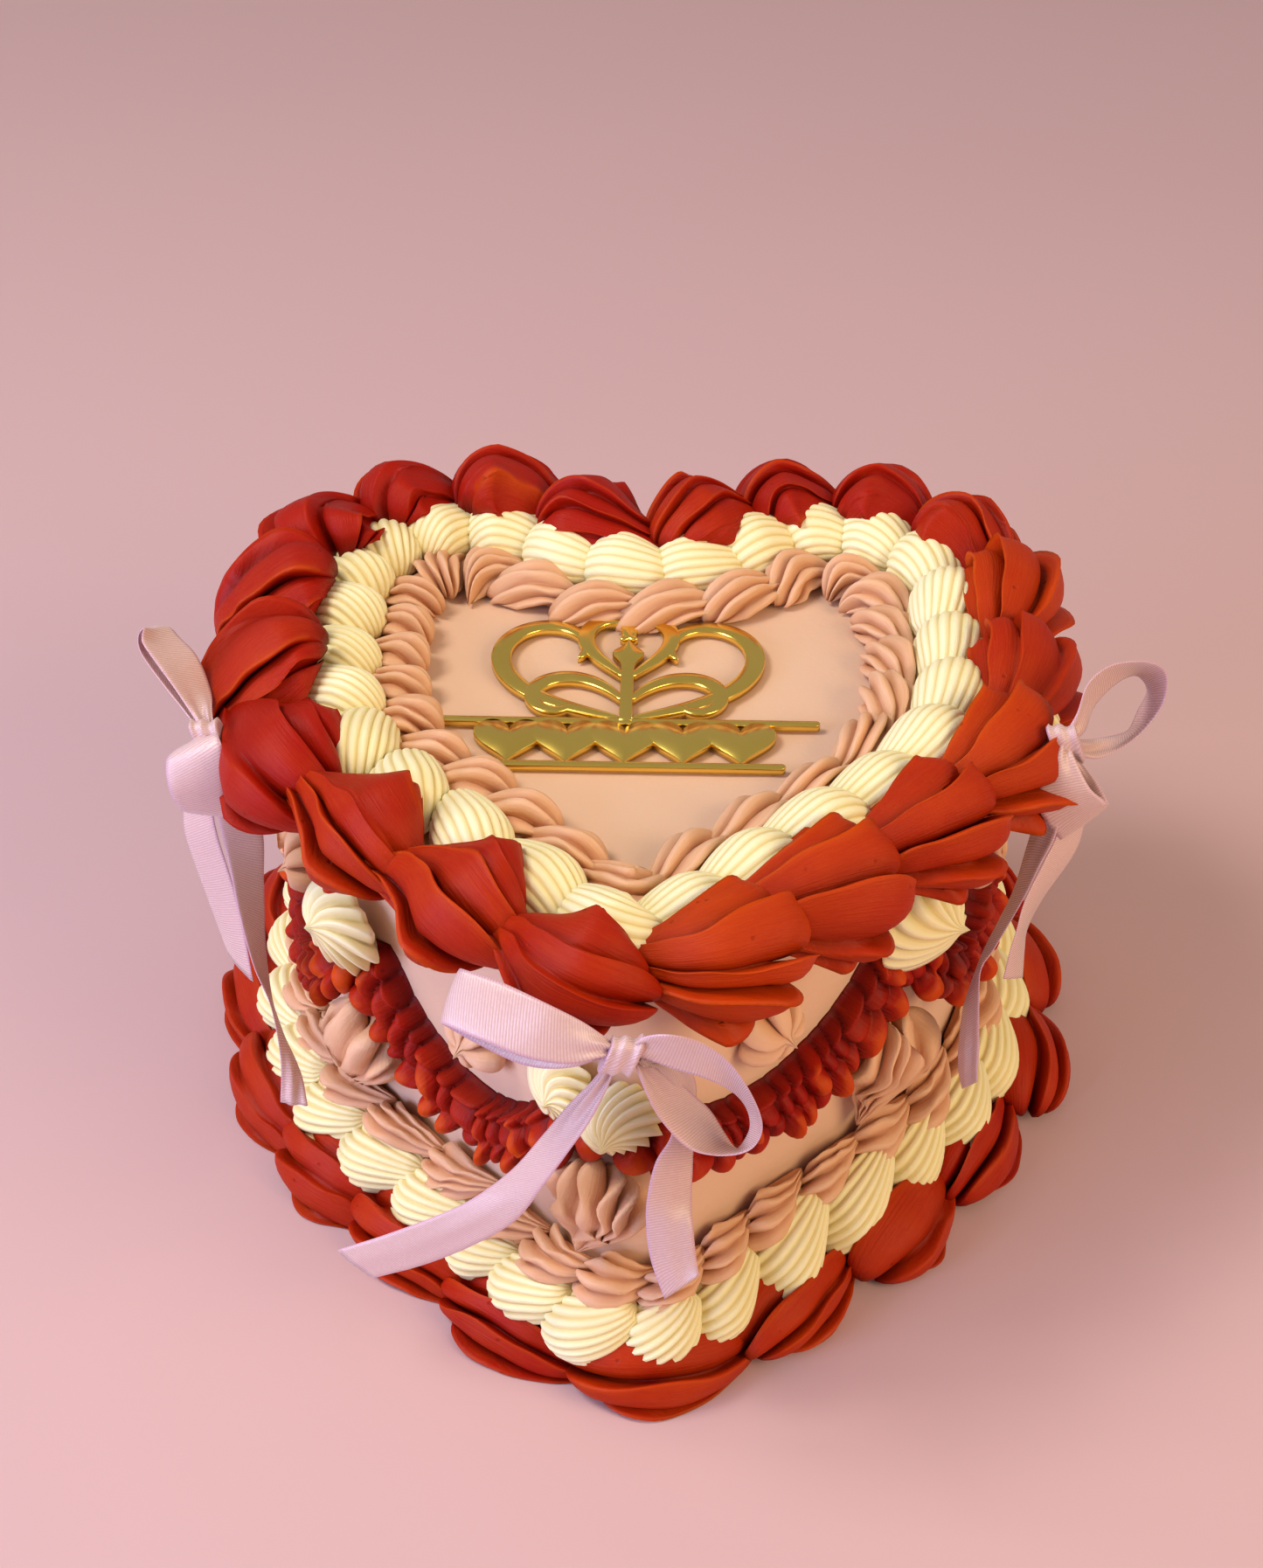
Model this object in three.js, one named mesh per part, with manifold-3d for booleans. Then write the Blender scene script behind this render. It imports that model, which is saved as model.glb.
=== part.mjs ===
// Heart shaped layer cake with piped buttercream borders, ruffled swags, satin bows and a gilt ornament.
// Millimetres, +Z up, the heart's point towards -Y, the origin on the underside in the heart's middle.
import * as THREE from 'three';
import { mergeVertices } from 'three/addons/utils/BufferGeometryUtils.js';
import Module from 'manifold-3d';

const wasm = await Module();
wasm.setup();

// Iced heart: plan outline made of arcs and straight sides.
const HALF_WIDTH = 89;
const LOBE_RADIUS = 41;
const LOBE_Y = 43;
const NOTCH_RADIUS = 34;
const SHOULDER_RADIUS = 90;
const POINT_RADIUS = 20;
const POINT_Y = -102;
const MIDDLE_Y = -9;
const SIDE_ANGLE = 45;
const CAKE_HEIGHT = 122;
const TOP_EDGE_ROUND = 3;

// Air left between neighbouring pieces.
const GAP = 0.5;

// Detail smaller than this is smoothed away, on the small pieces and on the borders.
const FINE = 0.2;
const COARSE = 0.7;

// Ribbon.
const RIBBON_WIDTH = 12;
const RIBBON_THICKNESS = 0.8;

// Piped rows: offset from the wall, height of the row's axis, tilt of its support from level and the size of one
// shell's body. `places` are the shells' middles as distance round the row from the heart's point, the rest of
// the row being filled about `pitch` apart. Heads point anticlockwise on the top and clockwise at the foot.
// `seat` is how far under its axis a row is flat, `stations` where along a shell, head to tail, its sections
// are set, and `squeeze` how much shorter than the cake the row's own heart is from front to back.
const ROWS = {
  topRed: {
    offset: 8, height: CAKE_HEIGHT + 7, tilt: 38, heading: 1, yaw: 9, seed: 1, squeeze: 0.955, pitch: 31,
    places: [-301, -273, -245, -219, -187, -151, -111, -73, -40, -6, 22, 56, 92, 123, 156, 191, 223, 249,
      276, 303],
    stations: [0, 0.18, 0.46, 0.78], width: 32, rise: 27, lobes: 4, span: 128, depth: 0.34, lean: -0.35,
    twist: 0.5, seat: -40,
  },
  topCream: {
    offset: -10, height: CAKE_HEIGHT + 5.5, tilt: 0, heading: 1, yaw: 10, seed: 2, pitch: 20,
    places: [-262, -245, -226, -207, -189, -174, -158, -138, -119, -99, -77, -53, -30, -7, 14, 35, 57, 78,
      101, 122, 143, 163, 181, 199, 216, 233, 252],
    stations: [0, 0.22, 0.62], width: 20, rise: 19, lobes: 3, span: 115, depth: 0.14, lean: 0,
    twist: 0.4, seat: GAP - 5.5,
  },
  topPeach: {
    offset: -23.8, height: CAKE_HEIGHT + 3, tilt: 0, heading: 1, yaw: 12, seed: 3, pitch: 17,
    places: [-213, -196, -178, -163, -147, -132, -120, -106, -92, -76, -60, -43, -26, -7, 14, 34, 56, 77, 97, 114,
      131, 146, 160, 175, 192, 211],
    stations: [0, 0.22, 0.62], width: 14, rise: 13.5, lobes: 3, span: 115, depth: 0.26, lean: -0.2,
    twist: 0.6, seat: GAP - 3,
  },
  baseRed: {
    offset: 14.5, height: 1, tilt: 0, heading: -1, yaw: 9, seed: 4, pitch: 38,
    places: [-126, -94, -62, -25, 15, 55, 92, 128],
    stations: [0, 0.22, 0.64], width: 26, rise: 25, lobes: 4, span: 112, depth: 0.34, lean: 0.35,
    twist: 0.3, seat: -1,
  },
  baseCream: {
    offset: 9, height: 15, tilt: 90, heading: -1, yaw: 10, seed: 5, pitch: 24,
    places: [-131, -108, -86, -64, -46, -27, -7, 9, 26, 49, 75, 98, 119],
    stations: [0, 0.22, 0.62], width: 17, rise: 18, lobes: 3, span: 112, depth: 0.15, lean: 0,
    twist: 0.2, seat: GAP - 9,
  },
  basePeach: {
    offset: 4.5, height: 26.5, tilt: 90, heading: -1, yaw: 10, seed: 6, pitch: 20,
    places: [-99, -77, -56, -36, -18, -1, 13, 28, 46, 66, 87],
    stations: [0, 0.22, 0.62], width: 13.5, rise: 13, lobes: 3, span: 112, depth: 0.28, lean: 0.2,
    twist: 0.3, seat: GAP - 4.5,
  },
};

// Where the swags meet, as distance round the wall from the heart's point and height, and how low each hangs.
const JOINTS = [[-91, 90], [-6, 92], [86, 96], [178, 92], [265, 92], [332, 92], [419, 92]];
const LOW_POINTS = [56, 66, 60, 62, 78, 62, 52];
// Dabs under the top border's edge: distance round the wall, height and distance out from the wall.
const DABS = [[-128, 119, 7], [138, 120, 8], [-197, 124, 8]];
const SWAG_WIDTH = 17;
const SWAG_RISE = 8;
const RUFFLE_PITCH = 8.6;

const CREAM_STAR = { radius: 12, rise: 13, lobes: 7, depth: 0.2, peak: 0.5, swirl: 0.5 };
const PEACH_STAR = { radius: 10, rise: 8, lobes: 6, depth: 0.34, peak: 0.7, swirl: 0.2 };
const CREAM_DAB = { radius: 12, rise: 14, lobes: 6, depth: 0.1, peak: 0.4, swirl: 0.3 };
const PEACH_DROP = { length: 29, width: 24, rise: 15, lobes: 4, span: 120, stations: 3, depth: 0.32,
  lean: -0.2, twist: 0.5, stand: 3, seat: GAP - 3 };

// Seeded draw between -1 and 1.
function draw(seed, index) {
  const value = Math.sin(seed * 12.9898 + index * 78.233) * 43758.5453;
  return 2 * (value - Math.floor(value)) - 1;
}

// Points of one arc with the outward direction at each, about `step` mm apart.
function arc(cx, cy, radius, from, to, side, step) {
  const turn = THREE.MathUtils.degToRad(to - from);
  const count = Math.max(2, Math.ceil(Math.abs(turn) * radius / step));
  const points = [];
  for (let i = 0; i < count; i += 1) {
    const angle = THREE.MathUtils.degToRad(from) + turn * i / (count - 1);
    const nx = Math.cos(angle);
    const ny = Math.sin(angle);
    points.push({ x: cx + radius * nx, y: cy + radius * ny, nx: nx * side, ny: ny * side });
  }
  return points;
}

// Closed heart outline set off from the wall by `offset`, anticlockwise from the point at the front.
function heartOutline(offset, step) {
  const slope = THREE.MathUtils.degToRad(SIDE_ANGLE);
  const pointRadius = Math.max(POINT_RADIUS + offset, 3);
  const apex = POINT_Y + POINT_RADIUS - (POINT_RADIUS + offset) / Math.cos(slope);
  const pointY = apex + pointRadius / Math.cos(slope);
  const startX = pointRadius * Math.sin(slope);
  const startY = pointY - pointRadius * Math.cos(slope);
  const shoulder = SHOULDER_RADIUS + offset;
  const shoulderX = HALF_WIDTH + offset - shoulder;
  const endX = shoulderX + shoulder * Math.sin(slope);
  const shoulderY = startY + (endX - startX) * Math.tan(slope) + shoulder * Math.cos(slope);
  const lobeX = HALF_WIDTH - LOBE_RADIUS;
  const notchY = LOBE_Y + Math.sqrt((LOBE_RADIUS + NOTCH_RADIUS) ** 2 - lobeX ** 2);
  const meet = THREE.MathUtils.radToDeg(Math.atan2(notchY - LOBE_Y, -lobeX));
  const right = [
    ...arc(0, pointY, pointRadius, -90, -90 + SIDE_ANGLE, 1, step),
    ...arc(shoulderX, shoulderY, shoulder, -90 + SIDE_ANGLE, 0, 1, step),
    ...arc(lobeX, LOBE_Y, LOBE_RADIUS + offset, 0, meet, 1, step),
    ...arc(0, notchY, NOTCH_RADIUS - offset, meet - 180, -90, -1, step).slice(1),
  ];
  const left = right.slice(1, -1).reverse().map((p) => ({ x: -p.x, y: p.y, nx: -p.nx, ny: p.ny }));
  return [...right, ...left];
}

// Walks round an outline by distance: position, outward and anticlockwise directions there.
function makeTrack(offset, squeeze = 1) {
  const points = heartOutline(offset, 1);
  for (const point of points) point.y = MIDDLE_Y + (point.y - MIDDLE_Y) * squeeze;
  points.push(points[0]);
  const distances = [0];
  for (let i = 1; i < points.length; i += 1) {
    const step = Math.hypot(points[i].x - points[i - 1].x, points[i].y - points[i - 1].y);
    distances.push(distances[i - 1] + step);
  }
  const total = distances[distances.length - 1];
  const at = (distance) => {
    const wanted = ((distance % total) + total) % total;
    let i = 1;
    while (distances[i] < wanted) i += 1;
    const mix = (wanted - distances[i - 1]) / (distances[i] - distances[i - 1] || 1);
    const [a, b] = [points[i - 1], points[i]];
    const outward = new THREE.Vector3(a.nx, a.ny, 0).lerp(new THREE.Vector3(b.nx, b.ny, 0), mix).normalize();
    const around = new THREE.Vector3(-outward.y, outward.x, 0);
    const position = new THREE.Vector3(a.x, a.y, 0).lerp(new THREE.Vector3(b.x, b.y, 0), mix);
    return { position, outward, around };
  };
  return { total, at };
}

// Closed solid for booleans from a geometry.
function solidFrom(geometry) {
  const bare = geometry.clone();
  bare.deleteAttribute('normal');
  bare.deleteAttribute('uv');
  const merged = mergeVertices(bare, 1e-4);
  const solid = new wasm.Manifold(new wasm.Mesh({
    numProp: 3,
    vertProperties: new Float32Array(merged.attributes.position.array),
    triVerts: new Uint32Array(merged.index.array),
  }));
  return solid;
}

// Moves every vertex of a geometry by a function of its place.
function reshape(geometry, move) {
  const position = geometry.attributes.position;
  const vertex = new THREE.Vector3();
  for (let i = 0; i < position.count; i += 1) {
    vertex.fromBufferAttribute(position, i);
    const moved = move(vertex, i);
    position.setXYZ(i, moved.x, moved.y, moved.z);
  }
  return geometry;
}

// One piped shell along X, head at +X: a plump head drawn out to a tail, its back in lapping lobes.
function shellGeometry(shell, grow) {
  const around = shell.lobes * 2 + 2;
  const geometry = new THREE.SphereGeometry(1, around, shell.stations);
  const uv = geometry.attributes.uv;
  const span = THREE.MathUtils.degToRad(shell.span);
  return reshape(geometry, (vertex, i) => {
    const t = 1 - uv.getY(i);
    const column = Math.round(uv.getX(i) * around) % around;
    const tip = t < 1e-6 || t > 1 - 1e-6;
    const body = tip ? 0 : Math.sin(Math.PI * t ** 0.72) ** 0.75;
    const under = column === around - 1;
    const ridge = column % 2 === 1;
    const even = span * (column / shell.lobes - 1) + (ridge ? shell.lean * span / shell.lobes : 0);
    const angle = under ? Math.PI : even + shell.twist * (t - 0.4);
    const radial = body * (ridge && !under ? 1 : 1 - shell.depth);
    const x = shell.length * (0.5 - 0.65 * t - 0.35 * t * t * (3 - 2 * t)) + grow * (1 - 2 * t) * 1.5;
    const y = -(shell.width / 2 * radial + grow * Math.sign(body)) * Math.sin(angle);
    const lift = (shell.rise / 2 * radial + grow * Math.sign(body)) * Math.cos(angle);
    const z = Math.max(lift + shell.rise * 0.12 * (body - 0.6), shell.seat - grow);
    return new THREE.Vector3(x, y, z);
  });
}

// Where each shell of a row begins, as distance round the row, and where the last one ends.
function shellBounds(row, total) {
  const middles = [...row.places];
  const last = middles[middles.length - 1];
  const left = middles[0] + total - last;
  const extra = Math.round(left / row.pitch) - 1;
  for (let i = 1; i <= extra; i += 1) middles.push(last + left * i / (extra + 1));
  const before = middles[middles.length - 1] - total;
  const bounds = middles.map((middle, i) => (middle + (i ? middles[i - 1] : before)) / 2);
  bounds.push(bounds[0] + total);
  return bounds;
}

// A closed row of shells piped round the cake, each head swelling over the thin tail of the one before it.
function pipedRow(row, grow) {
  const track = makeTrack(row.offset, row.squeeze);
  const around = row.lobes * 2 + 2;
  const steps = row.stations.length;
  const bounds = shellBounds(row, track.total);
  const sections = (bounds.length - 1) * steps;
  const geometry = new THREE.TorusGeometry(1, 0.4, around, sections);
  const uv = geometry.attributes.uv;
  const span = THREE.MathUtils.degToRad(row.span);
  const yaw = Math.tan(THREE.MathUtils.degToRad(row.yaw));
  return solidFrom(reshape(geometry, (vertex, i) => {
    const station = Math.round(uv.getX(i) * sections) % sections;
    const shell = Math.floor(station / steps);
    const step = station % steps;
    const t = row.heading < 0 ? row.stations[step] : row.stations[(steps - step) % steps];
    const along = row.heading < 0 || step === 0 ? t : 1 - t;
    const column = Math.round((1 - uv.getY(i)) * around) % around;
    const size = step === 0 ? 1 : 1 + 0.07 * draw(row.seed, shell + 100);
    const body = (0.45 + 0.55 * Math.sin(Math.PI * t ** 0.55) ** 0.9) * size;
    const under = column === around - 1;
    const ridge = column % 2 === 1 && !under;
    const even = span * (column / row.lobes - 1) + (ridge ? row.lean * span / row.lobes : 0);
    const angle = under ? Math.PI : even + row.twist * (t - 0.4);
    const radial = body * (ridge ? 1 : 1 - row.depth);
    const length = bounds[shell + 1] - bounds[shell];
    const fan = step === 0 ? 0 : yaw * length * (0.45 - t);
    const across = (row.width / 2 * radial + grow) * Math.sin(angle) + fan;
    const lift = (row.rise / 2 * radial + grow) * Math.cos(angle) + row.rise * 0.12 * (body - 0.6);
    const place = track.at(bounds[shell] + along * length);
    const tilt = THREE.MathUtils.degToRad(row.tilt);
    const up = Math.max(lift, row.seat - grow);
    const position = place.position.clone();
    position.addScaledVector(place.outward, across * Math.cos(tilt) + up * Math.sin(tilt));
    position.z = row.height - across * Math.sin(tilt) + up * Math.cos(tilt);
    return position;
  }));
}

// The iced heart itself, flat top and underside; `grow` sets its wall and top outwards.
function heartCore(grow) {
  const outline = heartOutline(grow - TOP_EDGE_ROUND, 7);
  const shape = new THREE.Shape(outline.map((p) => new THREE.Vector2(p.x, p.y)));
  const geometry = new THREE.ExtrudeGeometry(shape, {
    depth: CAKE_HEIGHT + grow - TOP_EDGE_ROUND,
    bevelEnabled: true,
    bevelSegments: 1,
    bevelSize: TOP_EDGE_ROUND,
    bevelThickness: TOP_EDGE_ROUND,
    curveSegments: 1,
  });
  return solidFrom(geometry).subtract(floorBlock());
}

// Everything under the plane the cake stands on.
function floorBlock() {
  return solidFrom(new THREE.BoxGeometry(400, 400, 60).translate(0, 0, -30));
}

// A ruffled band on the wall between two joints, hanging in a bow.
function swagGeometry(track, index, grow) {
  const [fromS, fromZ] = JOINTS[index];
  const [nextS, nextZ] = JOINTS[(index + 1) % JOINTS.length];
  const toS = index === JOINTS.length - 1 ? nextS + track.total : nextS;
  const low = LOW_POINTS[index];
  const waves = Math.max(8, Math.round((toS - fromS) * 1.12 / RUFFLE_PITCH));
  const geometry = new THREE.CylinderGeometry(1, 1, 1, 4, waves * 2);
  return reshape(geometry, (vertex) => {
    const t = Math.min(1, Math.max(0, 0.5 - vertex.y));
    const inset = 7;
    const s = fromS + inset + (toS - fromS - 2 * inset) * t;
    const ends = fromZ + (nextZ - fromZ) * t - 6;
    const z = ends - (ends - low) * (4 * t * (1 - t)) ** 0.8;
    const slope = -(ends - low) * 4 * (1 - 2 * t) / (toS - fromS);
    const lobe = Math.cos(2 * Math.PI * waves * t);
    const corner = Math.round(((Math.atan2(vertex.x, vertex.z) / (2 * Math.PI)) + 1) * 4) % 4;
    const inside = Math.hypot(vertex.x, vertex.z) < 0.5;
    const across = [-0.5, -0.4, 0.4, 0.5][corner] * SWAG_WIDTH + [-0.6, -1.2, 0.8, 0.3][corner] * lobe;
    const front = ([0, 0.75, 0.95, 0][corner] + [0, 0.16, -0.16, 0][corner] * lobe) * SWAG_RISE + grow;
    const out = corner === 0 || corner === 3 ? GAP : front;
    const w = inside ? 0 : across + Math.sign(across) * grow;
    const h = inside ? 2 : out;
    const lean = Math.atan(slope);
    const place = track.at(s);
    const position = place.position.clone().addScaledVector(place.outward, h);
    position.addScaledVector(place.around, -w * Math.sin(lean));
    position.z = z + w * Math.cos(lean);
    return position;
  });
}

// A star pressed on the wall: lobes round a centre drawn out to a point, axis along +Z.
function starGeometry(star, grow) {
  const around = star.lobes * 2;
  const geometry = new THREE.SphereGeometry(1, around, 4);
  const uv = geometry.attributes.uv;
  const radii = [0, 0.5, 1, 0.84, 0];
  const heights = [1 + star.peak, 0.84, 0.36, 0, 0];
  return reshape(geometry, (vertex, i) => {
    const ring = Math.round((1 - uv.getY(i)) * 4);
    const column = Math.round(uv.getX(i) * around) % around;
    const angle = (column / around) * 2 * Math.PI + star.swirl * heights[ring];
    const valley = column % 2 ? 1 - star.depth : 1;
    const radius = radii[ring] === 0 ? 0 : star.radius * radii[ring] * valley + grow;
    const lean = star.peak * star.radius * 0.35 * Math.max(0, heights[ring] - 0.84);
    const rise = ring < 3 ? heights[ring] * star.rise + grow : 0;
    return new THREE.Vector3(radius * Math.cos(angle) + lean, radius * Math.sin(angle), rise);
  });
}

// A piece set on the wall at a distance round it and a height, its own +Z pointing out.
function onWall(geometry, track, s, z, stand, roll) {
  const place = track.at(s);
  const matrix = new THREE.Matrix4().makeBasis(place.around, new THREE.Vector3(0, 0, 1), place.outward);
  const spot = place.position.clone().addScaledVector(place.outward, stand);
  matrix.setPosition(spot.x, spot.y, z);
  return solidFrom(geometry.rotateZ(THREE.MathUtils.degToRad(roll)).applyMatrix4(matrix));
}

// Smooth curve through three numbers of each control, from number `first` on.
function curveThrough(controls, first) {
  const points = controls.map((c) => new THREE.Vector3(c[first], c[first + 1], c[first + 2]));
  return new THREE.CatmullRomCurve3(points, false, 'centripetal');
}

// A strip of ribbon through control points, each with the direction its width takes.
function ribbonSolid(controls, grow) {
  const centres = curveThrough(controls, 0);
  const widths = curveThrough(controls, 3);
  const segments = controls.length - 1;
  const geometry = new THREE.BoxGeometry(1, 1, 1, segments, 1, 1);
  return solidFrom(reshape(geometry, (vertex) => {
    const t = Math.min(1, Math.max(0, vertex.x + 0.5));
    const centre = centres.getPoint(t);
    const tangent = centres.getTangent(t);
    const width = widths.getPoint(t);
    width.addScaledVector(tangent, -width.dot(tangent)).normalize();
    const face = new THREE.Vector3().crossVectors(tangent, width);
    centre.addScaledVector(width, vertex.y * (RIBBON_WIDTH + 2 * grow));
    return centre.addScaledVector(face, vertex.z * (RIBBON_THICKNESS + 2 * grow));
  }));
}

// The tight wrap at the middle of a bow.
function knotSolid(centre, size, grow) {
  const geometry = new THREE.SphereGeometry(1, 6, 4);
  geometry.scale(size[0] / 2 + grow, size[1] / 2 + grow, size[2] / 2 + grow);
  return solidFrom(geometry.translate(centre[0], centre[1], centre[2]));
}

function bowSolid(bow, grow) {
  let solid = knotSolid(bow.knot, bow.knotSize, grow);
  for (const strip of bow.strips) solid = solid.add(ribbonSolid(strip, grow));
  return solid;
}

// Bows: the knot's centre and strips as x, y, z and the direction of the width.
const BOWS = {
  bow_front: {
    knot: [-1, -124, 121], knotSize: [10, 7, 10],
    strips: [
      [[-1, -124, 121, 0, 0.4, 1], [-15, -124, 127, 0.1, 0.6, 0.8], [-27, -121, 130, 0.2, 0.6, 0.8],
        [-40, -115, 129.5, 0.2, 0.6, 0.8], [-41, -112, 127, 0.2, 0.6, 0.8], [-26, -117, 126, 0.1, 0.6, 0.8],
        [-2, -121.5, 120, 0, 0.4, 1]],
      [[0, -124, 122, 0, -0.6, 0.8], [12, -125, 126, 0.1, -0.9, 0.5], [22, -127, 120, 0.2, -0.95, 0.4],
        [29, -125, 104, 0.3, -0.9, 0.2], [22, -127, 93, 0.6, -0.8, 0.1], [11, -124.5, 103, 0.8, -0.5, 0.2],
        [1.5, -121, 116, 0.6, -0.3, 0.5]],
      [[-2, -124, 120, 0.9, 0, 0.3], [-7, -124.5, 110, 0.9, -0.3, -0.2], [-14, -125, 95, 0.8, -0.4, -0.3],
        [-28, -122, 72, 0.75, -0.4, -0.5], [-46, -114, 49, 0.6, -0.45, -0.65],
        [-72, -103, 22, 0.4, -0.5, -0.75]],
      [[0, -124, 119, 0.9, 0, 0.3], [7, -124, 109, 0.95, -0.2, 0.1], [13, -124, 91, 1, 0.1, 0.1],
        [9.5, -124, 72, 1, 0.1, 0], [12, -125, 54, 1, 0, 0.1], [14, -125.5, 40, 1, 0, 0.2]],
    ],
  },
  bow_left: {
    knot: [-107, -26, 132], knotSize: [8, 9, 10],
    strips: [
      [[-107, -26, 132, 0.5, -0.6, 0.5], [-113, -19, 143, 0.7, -0.6, 0.3], [-121, -8, 152, 0.7, -0.6, 0.4],
        [-127, -2, 152, 0.6, -0.7, 0.3], [-125, -7, 144, 0.6, -0.7, 0.2], [-115, -19, 134, 0.5, -0.7, 0.4],
        [-104, -23, 129, 0.5, -0.6, 0.5]],
      [[-108, -26, 131, 0.2, 0.3, 0.9], [-114, -23, 131, 0.1, 0.4, 0.9], [-121, -24, 122, 0.6, 0.3, 0.6],
        [-118, -29, 115, 0.7, 0.2, 0.6], [-110, -29, 124, 0.5, 0.2, 0.8], [-108, -30.5, 130, 0.2, 0.3, 0.9]],
      [[-108, -27, 130, 0.9, -0.3, 0], [-113, -29, 108, 0.9, -0.4, 0], [-111, -35, 82, 0.9, -0.4, 0.1],
        [-103, -46, 56, 0.9, -0.4, 0.1], [-95, -56, 36, 0.9, -0.3, 0.3]],
      [[-106, -28, 130, 0.8, -0.5, 0], [-102, -33, 108, 0.8, -0.5, 0.1], [-99, -39, 86, 0.7, -0.6, 0.1]],
    ],
  },
  bow_right: {
    knot: [108, -23, 132], knotSize: [8, 9, 10],
    strips: [
      [[108, -23, 132, 0, -0.6, 0.8], [116, -22, 133, 0.1, -0.6, 0.8], [126, -18, 140, -0.3, -0.7, 0.6],
        [129, -15, 149, -0.6, -0.7, 0.2], [120, -14, 151, -0.6, -0.7, 0.3], [111, -17, 143, -0.5, -0.7, 0.4],
        [108, -19.5, 136, 0, -0.6, 0.8]],
      [[108, -24, 131, 0.8, -0.3, 0.4], [110, -28, 126, 0.9, -0.2, 0.3], [113, -32, 118, 0.9, -0.2, 0.3],
        [108, -33, 116, 0.9, -0.3, 0.3], [106, -28, 124, 0.9, -0.3, 0.3], [104.5, -27, 130, 0.8, -0.3, 0.4]],
      [[107, -25, 130, 0.8, 0.4, 0.3], [101, -34, 108, 0.8, 0.3, 0.3], [94, -44, 88, 0.8, 0.4, 0.3],
        [89, -53, 70, 0.9, 0.4, 0.1], [89, -57, 46, 0.9, 0.4, 0]],
      [[109, -25, 130, 0.8, 0.3, 0.4], [107, -34, 104, 0.8, 0.3, 0.3], [102, -38, 84, 0.8, 0.3, 0.3],
        [100, -40, 64, 0.8, 0.3, 0.3]],
    ],
  },
};

// Flat gilt ornament: two rules, a row of small hearts between them and scrolls above.
const ORNAMENT = {
  thickness: 2, x: -4, ruleY: -6.6, lowRuleY: -24.4, longRule: 98, shortRule: 80, ruleHeight: 2.2,
};

function flatPiece(points, depth) {
  const shape = new THREE.Shape(points.map((p) => new THREE.Vector2(p[0], p[1])));
  return solidFrom(new THREE.ExtrudeGeometry(shape, { depth, bevelEnabled: false }));
}

function rectanglePoints(cx, cy, width, height) {
  const [w, h] = [width / 2, height / 2];
  return [[cx - w, cy - h], [cx + w, cy - h], [cx + w, cy + h], [cx - w, cy + h]];
}

// A small heart standing between the rules, its point and lobes let into them.
function smallHeartPoints(cx, cy, size) {
  const points = [];
  for (let i = 0; i < 10; i += 1) {
    const a = i / 10 * 2 * Math.PI;
    const x = 16 * Math.sin(a) ** 3;
    const y = 13 * Math.cos(a) - 5 * Math.cos(2 * a) - 2 * Math.cos(3 * a) - Math.cos(4 * a);
    points.push([cx + x * size / 32, cy + (y + 2.6) * size / 29]);
  }
  return points.reverse();
}

// A strip whose middle line curls in on itself, thin at both ends.
function scrollPoints(start, heading, curl, length, width) {
  const steps = 8;
  const left = [];
  const right = [];
  let [x, y] = start;
  for (let i = 0; i <= steps; i += 1) {
    const t = i / steps;
    const angle = heading + curl[0] * t + curl[1] * t * t;
    const half = width / 2 * (0.34 + 0.66 * Math.sin(Math.PI * t) ** 0.8);
    left.push([x - half * Math.sin(angle), y + half * Math.cos(angle)]);
    right.push([x + half * Math.sin(angle), y - half * Math.cos(angle)]);
    x += Math.cos(angle) * length / steps;
    y += Math.sin(angle) * length / steps;
  }
  return [...right, ...left.reverse()];
}

function ornamentSolid(grow) {
  const { thickness, x, ruleY, lowRuleY, longRule, shortRule, ruleHeight } = ORNAMENT;
  const rule = ruleHeight + 2 * grow;
  const depth = thickness + 2 * grow;
  const parts = [
    rectanglePoints(x, ruleY, longRule + 2 * grow, rule),
    rectanglePoints(x, lowRuleY, shortRule + 2 * grow, rule),
  ];
  const middle = (ruleY + lowRuleY) / 2;
  for (let i = -2; i <= 2; i += 1) parts.push(smallHeartPoints(x + i * 14.5, middle, 17.8 + 2 * grow));
  for (const side of [-1, 1]) {
    const mirror = (points) => (side > 0 ? points : points.map((p) => [2 * x - p[0], p[1]]).reverse());
    parts.push(mirror(scrollPoints([x + 1, ruleY + 1], 0.36, [-0.7, 5.7], 86, 5.2 + 2 * grow)));
    parts.push(mirror(scrollPoints([x + 1, ruleY + 9], 1, [-0.9, -4.2], 46, 4.6 + 2 * grow)));
    parts.push(mirror(scrollPoints([x + 1, ruleY + 19], 1, [-1.9, 6.9], 46, 4.4 + 2 * grow)));
  }
  parts.push(rectanglePoints(x, ruleY + 14, 3.4 + 2 * grow, 28));
  parts.push([[x, ruleY + 24], [x + 4, ruleY + 28], [x, ruleY + 35], [x - 4, ruleY + 28]]);
  let solid = null;
  for (const points of parts) {
    const piece = flatPiece(points, depth);
    solid = solid ? solid.add(piece) : piece;
  }
  return solid.translate([0, 0, CAKE_HEIGHT + GAP - grow]);
}

// Keeps the main body when trimming leaves slivers.
function mainBody(solid) {
  let best = null;
  for (const piece of solid.decompose()) {
    if (!best || piece.volume() > best.volume()) best = piece;
  }
  return best;
}

// Finishes one piece: cut back from its grown neighbours, rid of vertices that matter less than a small
// distance, and cut once more where that brought it into a piece finished before.
const finished = [];
function finish(smoothing, solid, ...grown) {
  let result = solid;
  for (const other of grown) result = result.subtract(other);
  result = mainBody(result).asOriginal().simplify(smoothing);
  for (const other of finished) {
    if (result.intersect(other).volume() > 0.001) result = result.subtract(other);
  }
  result = mainBody(result);
  finished.push(result);
  return result;
}

function icing(color, roughness) {
  return new THREE.MeshStandardMaterial({ color, roughness, metalness: 0 });
}

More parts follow.
